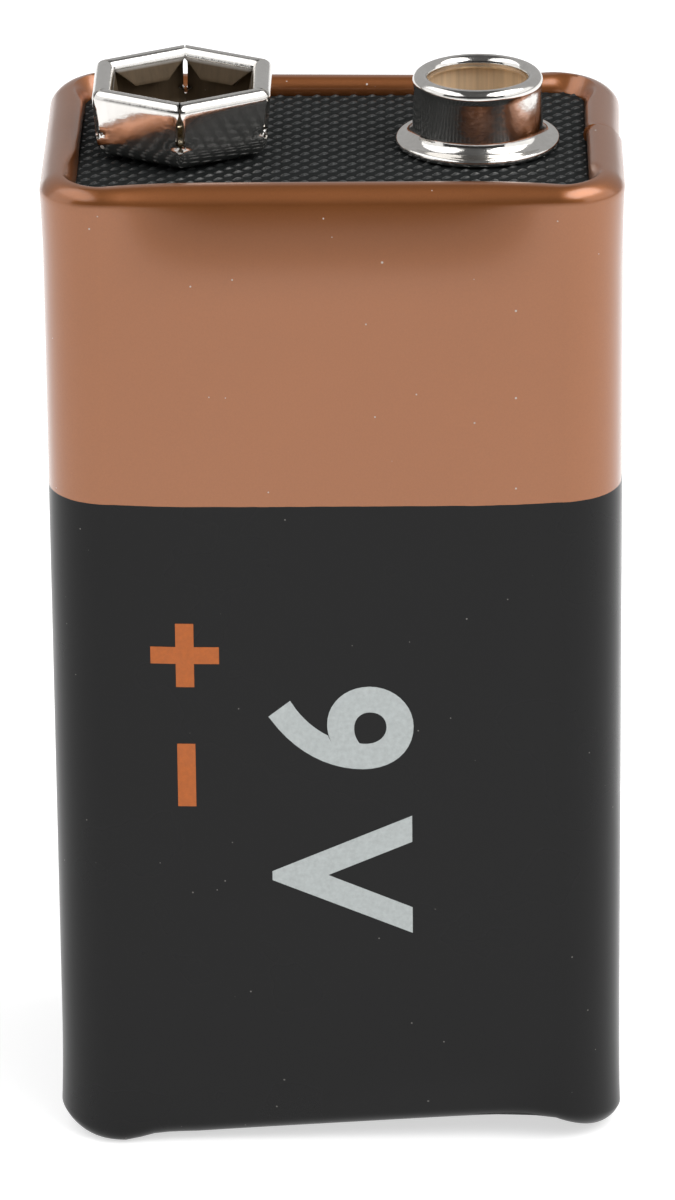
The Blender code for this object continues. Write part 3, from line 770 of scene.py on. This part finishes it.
def lay_on_face(ink, lift):
    """Lays a flat print, drawn in the plane of the front, on the bowed sheet."""
    jacket = sizes().jacket
    reach = jacket.half_x - jacket.corner
    places = read_places(ink)
    places[:, 1] = -(jacket.half_y + jacket.face_bow * crown(places[:, 0] / reach) + lift)
    write_places(ink, places)


def cut_upright(ink, spacing):
    """Cuts a flat print into upright strips, so that it can follow the bow near its end."""
    across = read_places(ink)[:, 0]
    open_mesh(ink)
    for number in range(math.ceil(across.min() / spacing), math.floor(across.max() / spacing) + 1):
        bpy.ops.mesh.select_all(action="SELECT")
        bpy.ops.mesh.bisect(plane_co=(number * spacing, 0, 0), plane_no=(1, 0, 0))
    bpy.ops.object.mode_set(mode="OBJECT")


def make_figures(x, z):
    """Plain rating figures, reading downwards; the nine is a six turned over."""
    size = sizes().print.figure
    figures = []
    for body, turn, along in (("6", 180, 0.42), ("V", 0, -0.42)):
        bpy.ops.object.select_all(action="DESELECT")
        bpy.ops.object.text_add(location=(0, 0, 0))
        text = bpy.context.object
        text.data.body, text.data.size = body, size
        text.data.offset = 0.024 * size
        text.data.resolution_u = 10
        bpy.ops.object.convert(target="MESH")
        figure = bpy.context.object
        middle = (Vector(figure.bound_box[0]) + Vector(figure.bound_box[6])) / 2
        figure.data.transform(Matrix.Translation((x, 0, z + along * size))
                              @ Matrix.Rotation(math.radians(90), 4, "Y")
                              @ Matrix.Rotation(math.radians(90), 4, "X")
                              @ Matrix.Rotation(math.radians(turn), 4, "Z")
                              @ Matrix.Translation(-middle))
        figures.append(figure)
    return join(figures, "white_figures")


def make_pole_marks(x, z):
    """Signs for the two poles, a cross and a bar, from plain bars."""
    mark, bar = sizes().print.mark, sizes().print.bar
    bars = []
    for low, wide, high in ((0.0, mark, bar), (0.0, bar, mark), (-1.9 * mark, bar, mark)):
        bpy.ops.object.select_all(action="DESELECT")
        bpy.ops.mesh.primitive_plane_add(size=1, location=(0, 0, 0))
        shape = bpy.context.object
        shape.data.transform(Matrix.Translation((x, 0, z + low))
                             @ Matrix.Rotation(math.radians(90), 4, "X")
                             @ Matrix.Diagonal((wide, high, 1, 1)))
        bars.append(shape)
    return bars


def make_print():
    """The printed figures and pole marks, as thin films on the black field."""
    figures = make_figures(0.2 * MM, 17.0 * MM)
    marks = join(make_pole_marks(-6.6 * MM, 24.0 * MM), "orange_marks")
    cut_upright(marks, 0.9 * MM)
    for ink, finish in ((figures, ink_film("White Ink", sizes().colours.white_ink)),
                        (marks, ink_film("Orange Ink", sizes().colours.orange_ink))):
        lay_on_face(ink, sizes().print.lift)
        open_mesh(ink)
        heal(0.002 * MM)
        bpy.ops.object.mode_set(mode="OBJECT")
        ink.data.materials.clear()
        ink.data.materials.append(finish)
        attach(ink, "root")


# ---- Finishes ----

class Graph:
    """Adds nodes to a tree, joined to what feeds them."""

    def __init__(self, tree):
        self.tree = tree

    def add(self, kind, inputs=None, **settings):
        node = self.tree.nodes.new(kind)
        for setting, value in settings.items():
            setattr(node, setting, value)
        for socket, value in (inputs or {}).items():
            self.feed(node.inputs[socket], value)
        return node

    def feed(self, socket, value):
        if isinstance(value, bpy.types.NodeSocket):
            self.tree.links.new(value, socket)
        else:
            socket.default_value = value

    def math(self, operation, first, second=0.0, third=0.0, clamp=False):
        return self.add("ShaderNodeMath", {0: first, 1: second, 2: third}, operation=operation,
                        use_clamp=clamp).outputs[0]

    def mix(self, factor, first, second, blend="MIX"):
        """A colour between two, by a mask; a plain colour is three numbers."""
        node = self.add("ShaderNodeMix", data_type="RGBA", blend_type=blend)
        for socket, value in ((0, factor), (6, first), (7, second)):
            if not isinstance(value, (float, bpy.types.NodeSocket)):
                value = (*value, 1.0)
            self.feed(node.inputs[socket], value)
        return node.outputs[2]

    def blend(self, factor, first, second):
        """A number between two, by a mask."""
        node = self.add("ShaderNodeMix", {0: factor, 2: first, 3: second}, data_type="FLOAT")
        return node.outputs[0]

    def noise(self, vector, scale, detail=2.0, roughness=0.5):
        node = self.add("ShaderNodeTexNoise", {"Vector": vector, "Scale": scale,
                                               "Detail": detail, "Roughness": roughness})
        return node.outputs["Fac"]

    def span(self, value, low, high, to_low=0.0, to_high=1.0):
        """Brings a number from one range to another, and holds it there."""
        node = self.add("ShaderNodeMapRange", {"Value": value, "From Min": low, "From Max": high,
                                               "To Min": to_low, "To Max": to_high})
        return node.outputs["Result"]

    def shade(self, tone, low, high):
        """Brings a noise's tone between two numbers."""
        return self.span(tone, 0.3, 0.7, low, high)

    def stretch(self, vector, scale):
        return self.add("ShaderNodeMapping", {"Vector": vector, "Scale": scale}).outputs[0]

    def axes(self, vector):
        return self.add("ShaderNodeSeparateXYZ", {0: vector}).outputs


class Finish(Graph):
    """A material that has nothing yet but its shader and its output."""

    def __init__(self, name):
        self.material = bpy.data.materials.new(name)
        self.material.use_nodes = True
        super().__init__(self.material.node_tree)
        self.shader = self.tree.nodes["Principled BSDF"]
        self.place = self.add("ShaderNodeTexCoord").outputs["Object"]

    def lay(self, effect, **values):
        """An effect laid on the surface, with values of its own."""
        return self.add("ShaderNodeGroup", {"Place": self.place, **values},
                        node_tree=effect).outputs

    def tint(self, colour_in, tone, low, high):
        """A colour made darker and lighter by a noise's tone."""
        factor = self.shade(tone, low, high)
        spread = self.add("ShaderNodeCombineColor", {0: factor, 1: factor, 2: factor}).outputs[0]
        return self.mix(1.0, colour_in, spread, "MULTIPLY")

    def soil_and_highlight(self, clean, mask, share, soiled=None):
        """A share of another colour, dust if none is named, where the mask is: dust, pinholes and
        bloom, and on the board's crests a painted highlight.
        """
        return self.mix(self.math("MULTIPLY", mask, share), clean,
                        soiled or sizes().colours.dust)

    def bump(self, height, depth):
        node = self.add("ShaderNodeBump", {"Height": height, "Distance": depth})
        self.feed(self.shader.inputs["Normal"], node.outputs[0])

    def dress(self, **values):
        """Feeds the shader's sockets, whose names have underscores here."""
        for socket, value in values.items():
            self.feed(self.shader.inputs[socket.replace("_", " ")], value)
        return self.material


GROUPS = {}


def effect(name, build, outputs, **inputs):
    """A node group, made once: a place, numbers with their defaults, and named outputs."""
    if name in GROUPS:
        return GROUPS[name]
    tree = bpy.data.node_groups.new(name, "ShaderNodeTree")
    tree.interface.new_socket(name="Place", in_out="INPUT", socket_type="NodeSocketVector")
    for socket, value in inputs.items():
        made = tree.interface.new_socket(name=socket, in_out="INPUT",
                                         socket_type="NodeSocketFloat")
        made.default_value = value
    for socket in outputs:
        tree.interface.new_socket(name=socket, in_out="OUTPUT", socket_type="NodeSocketFloat")
    graph = Graph(tree)
    source = graph.add("NodeGroupInput")
    sink = graph.add("NodeGroupOutput")
    for socket, value in build(graph, source.outputs).items():
        graph.feed(sink.inputs[socket], value)
    GROUPS[name] = tree
    return tree


def dust_specks():
    """Mask of scattered specks; Amount is the share of cells that hold one."""
    def build(graph, given):
        cells = graph.add("ShaderNodeTexVoronoi", {"Vector": given["Place"],
                                                   "Scale": given["Scale"]})
        parts = graph.add("ShaderNodeSeparateColor", {0: cells.outputs["Color"]}).outputs
        chosen = graph.math("LESS_THAN", parts[0], given["Amount"])
        size = graph.math("MULTIPLY_ADD", parts[1], 0.11, 0.06)
        inside = graph.math("SUBTRACT", size, cells.outputs["Distance"])
        edge = graph.math("MULTIPLY", inside, 30.0, clamp=True)
        return {"Mask": graph.math("MULTIPLY", chosen, edge)}
    return effect("Dust Specks", build, ["Mask"], Scale=900.0, Amount=0.05)


def smudges():
    """Slow change of gloss, as from handling."""
    def build(graph, given):
        slow = graph.noise(given["Place"], given["Scale"], 3.0, 0.55)
        return {"Mask": graph.span(slow, 0.35, 0.7)}
    return effect("Smudges", build, ["Mask"], Scale=140.0)


def satin_flake():
    """Fine sparkle of a metallic lacquer, and its faint orange peel."""
    def build(graph, given):
        fine = graph.noise(given["Place"], given["Scale"], 2.0, 0.7)
        peel = graph.noise(given["Place"], graph.math("MULTIPLY", given["Scale"], 0.12), 2.0)
        return {"Tone": fine, "Peel": peel}
    return effect("Satin Flake", build, ["Tone", "Peel"], Scale=9000.0)


def fibre_grain():
    """Short tangled fibres, for board, card and paper."""
    def build(graph, given):
        lying = graph.noise(graph.stretch(given["Place"], (0.25, 1.0, 1.0)), given["Scale"], 4.0)
        across = graph.noise(graph.stretch(given["Place"], (1.0, 0.25, 1.0)), given["Scale"], 4.0)
        return {"Tone": graph.math("MULTIPLY", graph.math("ADD", lying, across), 0.5)}
    return effect("Fibre Grain", build, ["Tone"], Scale=2500.0)


def drawn_lines():
    """Faint upright lines that drawing leaves on sheet metal."""
    def build(graph, given):
        lines = graph.stretch(given["Place"], (1.0, 1.0, 0.04))
        return {"Tone": graph.noise(lines, given["Scale"], 3.0, 0.6)}
    return effect("Drawn Lines", build, ["Tone"], Scale=3500.0)


def printed_lacquer():
    """The jacket's lacquer: satin copper over gloss black, parted by a level line."""
    colours, jacket = sizes().colours, sizes().jacket
    finish = Finish("Printed Lacquer")
    height = finish.axes(finish.place)["Z"]
    wander = finish.math("MULTIPLY", finish.noise(finish.place, 900.0), 0.05 * MM)
    upper = finish.math("GREATER_THAN", finish.math("ADD", height, wander),
                        jacket.band + 0.025 * MM)
    flake = finish.lay(satin_flake(), Scale=12000.0)
    dust = finish.lay(dust_specks(), Scale=2800.0, Amount=0.03)["Mask"]
    slow = finish.lay(smudges())["Mask"]
    field = finish.mix(upper, finish.tint(colours.black, flake["Tone"], 0.9, 1.1),
                       finish.tint(colours.copper, flake["Tone"], 0.95, 1.05))
    specks = finish.math("MULTIPLY", dust, finish.blend(upper, 0.3, 0.75))
    metal = finish.math("MULTIPLY", upper, finish.blend(specks, 0.72, 0.0))
    rough = finish.blend(upper, finish.blend(slow, 0.26, 0.32), finish.blend(slow, 0.34, 0.38))
    grain = finish.math("MULTIPLY_ADD", flake["Peel"], 0.6, finish.math("MULTIPLY", dust, 2.0))
    finish.bump(grain, 0.004 * MM)
    return finish.dress(Base_Color=finish.mix(specks, field, colours.dust), Metallic=metal,
                        Roughness=finish.blend(dust, rough, 0.8),
                        Coat_Weight=finish.blend(upper, 0.0, 1.0),
                        Coat_Roughness=0.2, Coat_IOR=1.62, Specular_IOR_Level=0.2)


def ink_film(name, ink):
    """Screen-printed ink with a faint mottle and pinholes."""
    finish = Finish(name)
    flake = finish.lay(satin_flake(), Scale=5000.0)
    pin = finish.lay(dust_specks(), Scale=1600.0, Amount=0.03)["Mask"]
    tone = finish.tint(ink, flake["Tone"], 0.91, 1.08)
    finish.bump(flake["Peel"], 0.003 * MM)
    return finish.dress(Base_Color=finish.soil_and_highlight(tone, pin, 0.6, (0.06, 0.06, 0.06)),
                        Roughness=finish.shade(flake["Peel"], 0.34, 0.46))


def nickel_plate(name, centre, inner, rise, inside_colour):
    """Bright nickel outside; deep inside a terminal, duller and of another colour: in the socket a
    dark painted shade, in the stud a paler beige.
    """
    finish = Finish(name)

    def product(*values):
        first, second, third, fourth = values
        return finish.math("ADD", finish.math("MULTIPLY", first, second),
                           finish.math("MULTIPLY", third, fourth))

    local = finish.add("ShaderNodeMapping", {"Vector": finish.place, "Location": -centre})
    x, y, height = finish.axes(local.outputs[0])
    face = finish.axes(finish.add("ShaderNodeTexCoord").outputs["Normal"])
    radius = finish.math("SQRT", product(x, x, y, y))
    outward = finish.math("DIVIDE", product(face["X"], x, face["Y"], y), radius)
    inside = finish.math("MAXIMUM", finish.span(radius, inner + 0.45 * MM, inner + 0.30 * MM),
                         finish.span(outward, -0.2, -0.6))
    deep = finish.span(height, rise - 0.3 * MM, rise - 0.55 * MM)
    # Mask of deep inside a terminal: in the socket it lays a painted shade, in the stud a paler
    # beige; both are duller there
    deep_inside = finish.math("MULTIPLY", inside, deep, clamp=True)
    lines = finish.lay(drawn_lines())["Tone"]
    slow = finish.lay(smudges(), Scale=500.0)["Mask"]
    dust = finish.lay(dust_specks(), Scale=1400.0, Amount=0.03)["Mask"]
    metal = finish.mix(deep_inside, finish.tint(sizes().colours.nickel, lines, 0.96, 1.04),
                       finish.tint(inside_colour, lines, 0.85, 1.15))
    rough = finish.blend(deep_inside, finish.blend(slow, 0.10, 0.16), 0.45)
    waves = finish.noise(finish.place, 3200.0, 2.0, 0.6)
    finish.bump(finish.math("MULTIPLY_ADD", lines, 0.15, waves), 0.005 * MM)
    return finish.dress(Base_Color=finish.soil_and_highlight(metal, dust, 0.5),
                        Metallic=finish.blend(dust, finish.blend(deep_inside, 1.0, 0.45), 0.3),
                        Roughness=finish.blend(dust, rough, 0.7))


def embossed_board():
    """Black board: the weave's crests are painted a little paler, a painted highlight, and are
    glossier.
    """
    board = sizes().board
    finish = Finish("Embossed Board")
    fibre = finish.lay(fibre_grain(), Scale=6000.0)["Tone"]
    dust = finish.lay(dust_specks(), Scale=2400.0, Amount=0.02)["Mask"]
    slow = finish.lay(smudges(), Scale=260.0)["Mask"]
    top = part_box("terminal_board")[1].z
    crest = finish.span(finish.axes(finish.place)["Z"], top - 0.48 * board.emboss,
                        top - 0.1 * board.emboss)
    # Painted highlight: the weave's crests are mixed towards a paler grey
    base = finish.soil_and_highlight(finish.tint(sizes().colours.board, fibre, 0.7, 1.4), crest, 0.5,
                       (0.03, 0.032, 0.032))
    finish.bump(fibre, 0.006 * MM)
    return finish.dress(Base_Color=finish.soil_and_highlight(base, dust, 0.7),
                        Roughness=finish.blend(crest, 0.7, finish.blend(slow, 0.24, 0.32)),
                        Specular_IOR_Level=finish.blend(crest, 0.05, 0.6))


def base_fibre():
    """Plain black fibre plate of the underside, scuffed where it stands."""
    finish = Finish("Base Fibre")
    fibre = finish.lay(fibre_grain(), Scale=3000.0)["Tone"]
    slow = finish.lay(smudges(), Scale=300.0)["Mask"]
    dust = finish.lay(dust_specks(), Scale=900.0, Amount=0.06)["Mask"]
    base = finish.soil_and_highlight(finish.tint(sizes().colours.board, fibre, 0.7, 1.7), slow, 0.25,
                       (0.05, 0.05, 0.05))
    finish.bump(fibre, 0.01 * MM)
    return finish.dress(Base_Color=finish.soil_and_highlight(base, dust, 0.6),
                        Roughness=finish.shade(fibre, 0.42, 0.6))


def lined_metal(name, metal, scale, patch, bloom, rough, depth):
    """Tinned brass or plated steel, with drawing lines and a little bloom."""
    finish = Finish(name)
    lines = finish.lay(drawn_lines(), Scale=scale)["Tone"]
    slow = finish.lay(smudges(), Scale=patch)["Mask"]
    base = finish.soil_and_highlight(finish.tint(metal, lines, 0.88, 1.1), slow, *bloom)
    finish.bump(lines, depth)
    return finish.dress(Base_Color=base, Roughness=finish.blend(slow, *rough), Metallic=1.0)


def strip_nickel():
    """Soft nickel strip with rolling lines and handling marks."""
    finish = Finish("Strip Nickel")
    lines = finish.noise(finish.stretch(finish.place, (1.0, 0.05, 1.0)), 2600.0, 3.0, 0.6)
    slow = finish.lay(smudges(), Scale=400.0)["Mask"]
    finish.bump(lines, 0.004 * MM)
    return finish.dress(Base_Color=finish.tint(sizes().colours.nickel, lines, 0.86, 1.08),
                        Roughness=finish.blend(slow, 0.28, 0.45), Metallic=1.0)


def pressed_pulp(name, pulp, scale):
    """Card or paper: tangled fibres that change its colour, gloss and height."""
    finish = Finish(name)
    fibre = finish.lay(fibre_grain(), Scale=scale)["Tone"]
    slow = finish.lay(smudges())["Mask"]
    finish.bump(fibre, 0.02 * MM)
    return finish.dress(Base_Color=finish.tint(pulp, fibre, 0.75, 1.2),
                        Roughness=finish.blend(slow, 0.8, 0.92))


def dress_inner_pieces():
    """Gives the pieces inside the jacket their finishes; their CAD shapes stay."""
    colours = sizes().colours
    can = lined_metal("Cell Can", colours.steel, 1800.0, 140.0, (0.25, (0.34, 0.33, 0.31)),
                      (0.26, 0.42), 0.006 * MM)
    strip = strip_nickel()
    card = pressed_pulp("Pressed Card", colours.card, 2200.0)
    paper = pressed_pulp("Kraft Paper", colours.paper, 1500.0)
    finishes = {"cell_liner": paper, "upper_card": card, "lower_card": card,
                "negative_lead": strip, "positive_lead": strip}
    finishes.update({f"cell_{n}": can for n in range(1, 7)})
    finishes.update({f"cell_strip_{n}": strip for n in range(1, 6)})
    for node, finish in finishes.items():
        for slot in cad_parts[node].material_slots:
            slot.material = finish


# ---- Stage ----

def make_camera(studio):
    """The photograph's view, from a camera fitted to the battery's edges."""
    turn, down = studio.yaw, studio.pitch
    ahead = Vector((math.sin(turn) * math.cos(down), math.cos(turn) * math.cos(down),
                    -math.sin(down)))
    right = Vector((math.cos(turn), -math.sin(turn), 0))
    up = right.cross(ahead)
    lean = studio.roll
    right, up = (right * math.cos(lean) + up * math.sin(lean),
                 up * math.cos(lean) - right * math.sin(lean))
    camera = bpy.data.objects.new("camera", bpy.data.cameras.new("camera"))
    bpy.context.collection.objects.link(camera)
    place = Matrix((right, up, -ahead)).transposed().to_4x4()
    place.translation = (studio.camera_x, studio.camera_y, studio.camera_z)
    camera.matrix_world = place
    camera.data.lens = studio.lens
    camera.data.sensor_width = 36
    camera.data.clip_start = 0.01
    bpy.context.scene.camera = camera


def make_floor(studio):
    """A pale floor that keeps the battery's shadow; its glow lights nothing."""
    bpy.ops.object.select_all(action="DESELECT")
    bpy.ops.mesh.primitive_circle_add(vertices=96, radius=3.0, fill_type="NGON")
    floor = name_piece(bpy.context.object, "floor")
    finish = Finish("Pale Floor")
    paper = finish.noise(finish.place, 60.0, 3.0)
    path = finish.add("ShaderNodeLightPath").outputs
    seen = finish.math("MAXIMUM", path["Is Camera Ray"], path["Is Glossy Ray"])
    seen = finish.math("MAXIMUM", seen, path["Is Transmission Ray"])
    floor.data.materials.append(finish.dress(
        Base_Color=finish.tint((studio.floor,) * 3, paper, 0.995, 1.0), Roughness=0.9,
        Specular_IOR_Level=0.0, Emission_Color=(1, 1, 1, 1),
        Emission_Strength=finish.blend(seen, 0.0, 0.6)))


def soft_box(name, place, aim, width, depth, level):
    """A large flat lamp; level is how bright it looks, where 1 is white."""
    lamp = bpy.data.objects.new(name, bpy.data.lights.new(name, "AREA"))
    bpy.context.collection.objects.link(lamp)
    lamp.data.shape = "RECTANGLE"
    lamp.data.size, lamp.data.size_y = width, depth
    lamp.data.energy = level * math.pi * width * depth
    lamp.location = place
    lamp.rotation_euler = (Vector(aim) - Vector(place)).to_track_quat("-Z", "Y").to_euler()
    lamp.visible_camera = False


def room_place(radius, turn, rise):
    """Place at a distance from the battery; turn is 0 in front and 90 on the right."""
    turn, rise = math.radians(turn), math.radians(rise)
    return Vector((radius * math.sin(turn) * math.cos(rise),
                   -radius * math.cos(turn) * math.cos(rise), 0.045 + radius * math.sin(rise)))


def make_reflection_sheet(name, points, spread, level):
    """A sheet in the room, drawn along a line, that glows at its level; it lights nothing and only
    reflections show it: a painted reflection.
    """
    curtain = draw_line(name, points)
    bpy.ops.mesh.extrude_region_move(TRANSFORM_OT_translate={"value": spread})
    bpy.ops.object.mode_set(mode="OBJECT")
    finish = Finish(name.replace("_", " ").title())
    folds = finish.noise(finish.place, 8.0)
    curtain.data.materials.append(finish.dress(
        Base_Color=(0, 0, 0, 1), Roughness=1.0, Specular_IOR_Level=0.0, Emission_Strength=1.0,
        Emission_Color=finish.tint((level,) * 3, folds, 0.9, 1.1)))
    curtain.visible_camera = curtain.visible_diffuse = curtain.visible_shadow = False


def make_sky(studio):
    world = bpy.data.worlds.new("Room")
    bpy.context.scene.world = world
    world.use_nodes = True
    back = world.node_tree.nodes["Background"]
    back.inputs["Color"].default_value = (1, 1, 1, 1)
    back.inputs["Strength"].default_value = studio.sky


def set_stage():
    studio = sizes().studio
    make_camera(studio)
    make_floor(studio)
    make_sky(studio)
    near, eye = 0.31, 0.045
    # Glowing sheets that only reflections show: painted reflections, pale cards and dark curtains
    # round the battery
    sheets = (("front_card", (-62, 60), (0.0005, 0.072), 0.75),
              ("front_curtain", (-62, 48), (0.0725, 0.21), 0.03),
              ("left_card", (-112, -62), (eye, 0.25), 1.1),
              ("right_card", (48, 112), (0.0725, 0.25), 1.25))
    for name, (start, end), (low, high), level in sheets:
        line = [room_place(near, turn, 0) for turn in np.linspace(start, end, 23)]
        make_reflection_sheet(name, [Vector((p.x, p.y, low)) for p in line], (0, 0, high - low), level)
    arch = [room_place(near, 0, rise) for rise in np.linspace(28, 128, 24)]
    make_reflection_sheet("arch_curtain", [p + Vector((-0.11, 0, 0)) for p in arch], (0.19, 0, 0), 0.1)
    aim = (0, 0, 0.03)
    soft_box("left_soft_box", room_place(0.55, -78, 50), aim, 0.75, 0.6, studio.left_box)
    soft_box("right_soft_box", room_place(0.55, 66, 50), aim, 0.6, 0.5, studio.right_box)
    bpy.context.scene.view_settings.view_transform = "Standard"


# ---- Operators ----

class Step:
    """What every operator does: it runs its own function."""

    def execute(self, context):
        self.make()
        return {"FINISHED"}


class MakeJacket(Step, bpy.types.Operator):
    """Roll the printed sheet round the cells and curl it over both ends"""
    bl_idname, bl_label = "nine_volt.make_jacket", "Make Jacket"
    make = staticmethod(make_jacket_sheet)


class MakePrint(Step, bpy.types.Operator):
    """Lay plain figures and pole marks on the black field"""
    bl_idname, bl_label = "nine_volt.make_print", "Make Print"
    make = staticmethod(make_print)


class MakeBoard(Step, bpy.types.Operator):
    """Emboss the terminal board and cut its holes"""
    bl_idname, bl_label = "nine_volt.make_board", "Make Terminal Board"
    make = staticmethod(make_terminal_board)


class MakeBase(Step, bpy.types.Operator):
    """Make the plate that closes the underside"""
    bl_idname, bl_label = "nine_volt.make_base", "Make Base Plate"
    make = staticmethod(make_base_plate)


class MakeStud(Step, bpy.types.Operator):
    """Turn the round snap stud"""
    bl_idname, bl_label = "nine_volt.make_stud", "Make Stud"
    make = staticmethod(make_stud)


class MakeSocket(Step, bpy.types.Operator):
    """Bend the six petals of the snap socket"""
    bl_idname, bl_label = "nine_volt.make_socket", "Make Socket"
    make = staticmethod(make_socket)


class MakeEyelets(Step, bpy.types.Operator):
    """Turn the two eyelets that hold the terminals"""
    bl_idname, bl_label = "nine_volt.make_eyelets", "Make Eyelets"
    make = staticmethod(make_eyelets)


class DressInside(Step, bpy.types.Operator):
    """Finish the cells, strips, leads, cards and liner"""
    bl_idname, bl_label = "nine_volt.dress_inside", "Finish Inner Pieces"
    make = staticmethod(dress_inner_pieces)


class SetStage(Step, bpy.types.Operator):
    """Set the floor, the lights and the camera"""
    bl_idname, bl_label = "nine_volt.set_stage", "Set Stage"
    make = staticmethod(set_stage)


class BatteryPanel(bpy.types.Panel):
    """Lists the steps that make the battery"""
    bl_idname = "VIEW3D_PT_nine_volt"
    bl_label = "Nine Volt Battery"
    bl_space_type = "VIEW_3D"
    bl_region_type = "UI"
    bl_category = "Battery"

    def draw(self, context):
        for step in STEPS:
            self.layout.operator(step.bl_idname)


STEPS = (SetStage, MakeJacket, MakePrint, MakeBoard, MakeBase, MakeStud, MakeSocket,
         MakeEyelets, DressInside)
GROUPS_OF_SIZES = (JacketSizes, BoardSizes, StudSizes, SocketSizes, EyeletSizes, PrintSizes,
                   Colours, StudioSizes, Battery)


def register():
    for kind in GROUPS_OF_SIZES + STEPS + (BatteryPanel,):
        bpy.utils.register_class(kind)
    bpy.types.Scene.nine_volt_battery = PointerProperty(type=Battery)


def unregister():
    del bpy.types.Scene.nine_volt_battery
    for kind in reversed(GROUPS_OF_SIZES + STEPS + (BatteryPanel,)):
        bpy.utils.unregister_class(kind)


def main():
    register()
    bpy.ops.nine_volt.set_stage()
    bpy.ops.nine_volt.make_jacket()
    bpy.ops.nine_volt.make_print()
    bpy.ops.nine_volt.make_board()
    bpy.ops.nine_volt.make_base()
    bpy.ops.nine_volt.make_stud()
    bpy.ops.nine_volt.make_socket()
    bpy.ops.nine_volt.make_eyelets()
    bpy.ops.nine_volt.dress_inside()


if __name__ == "__main__":
    main()
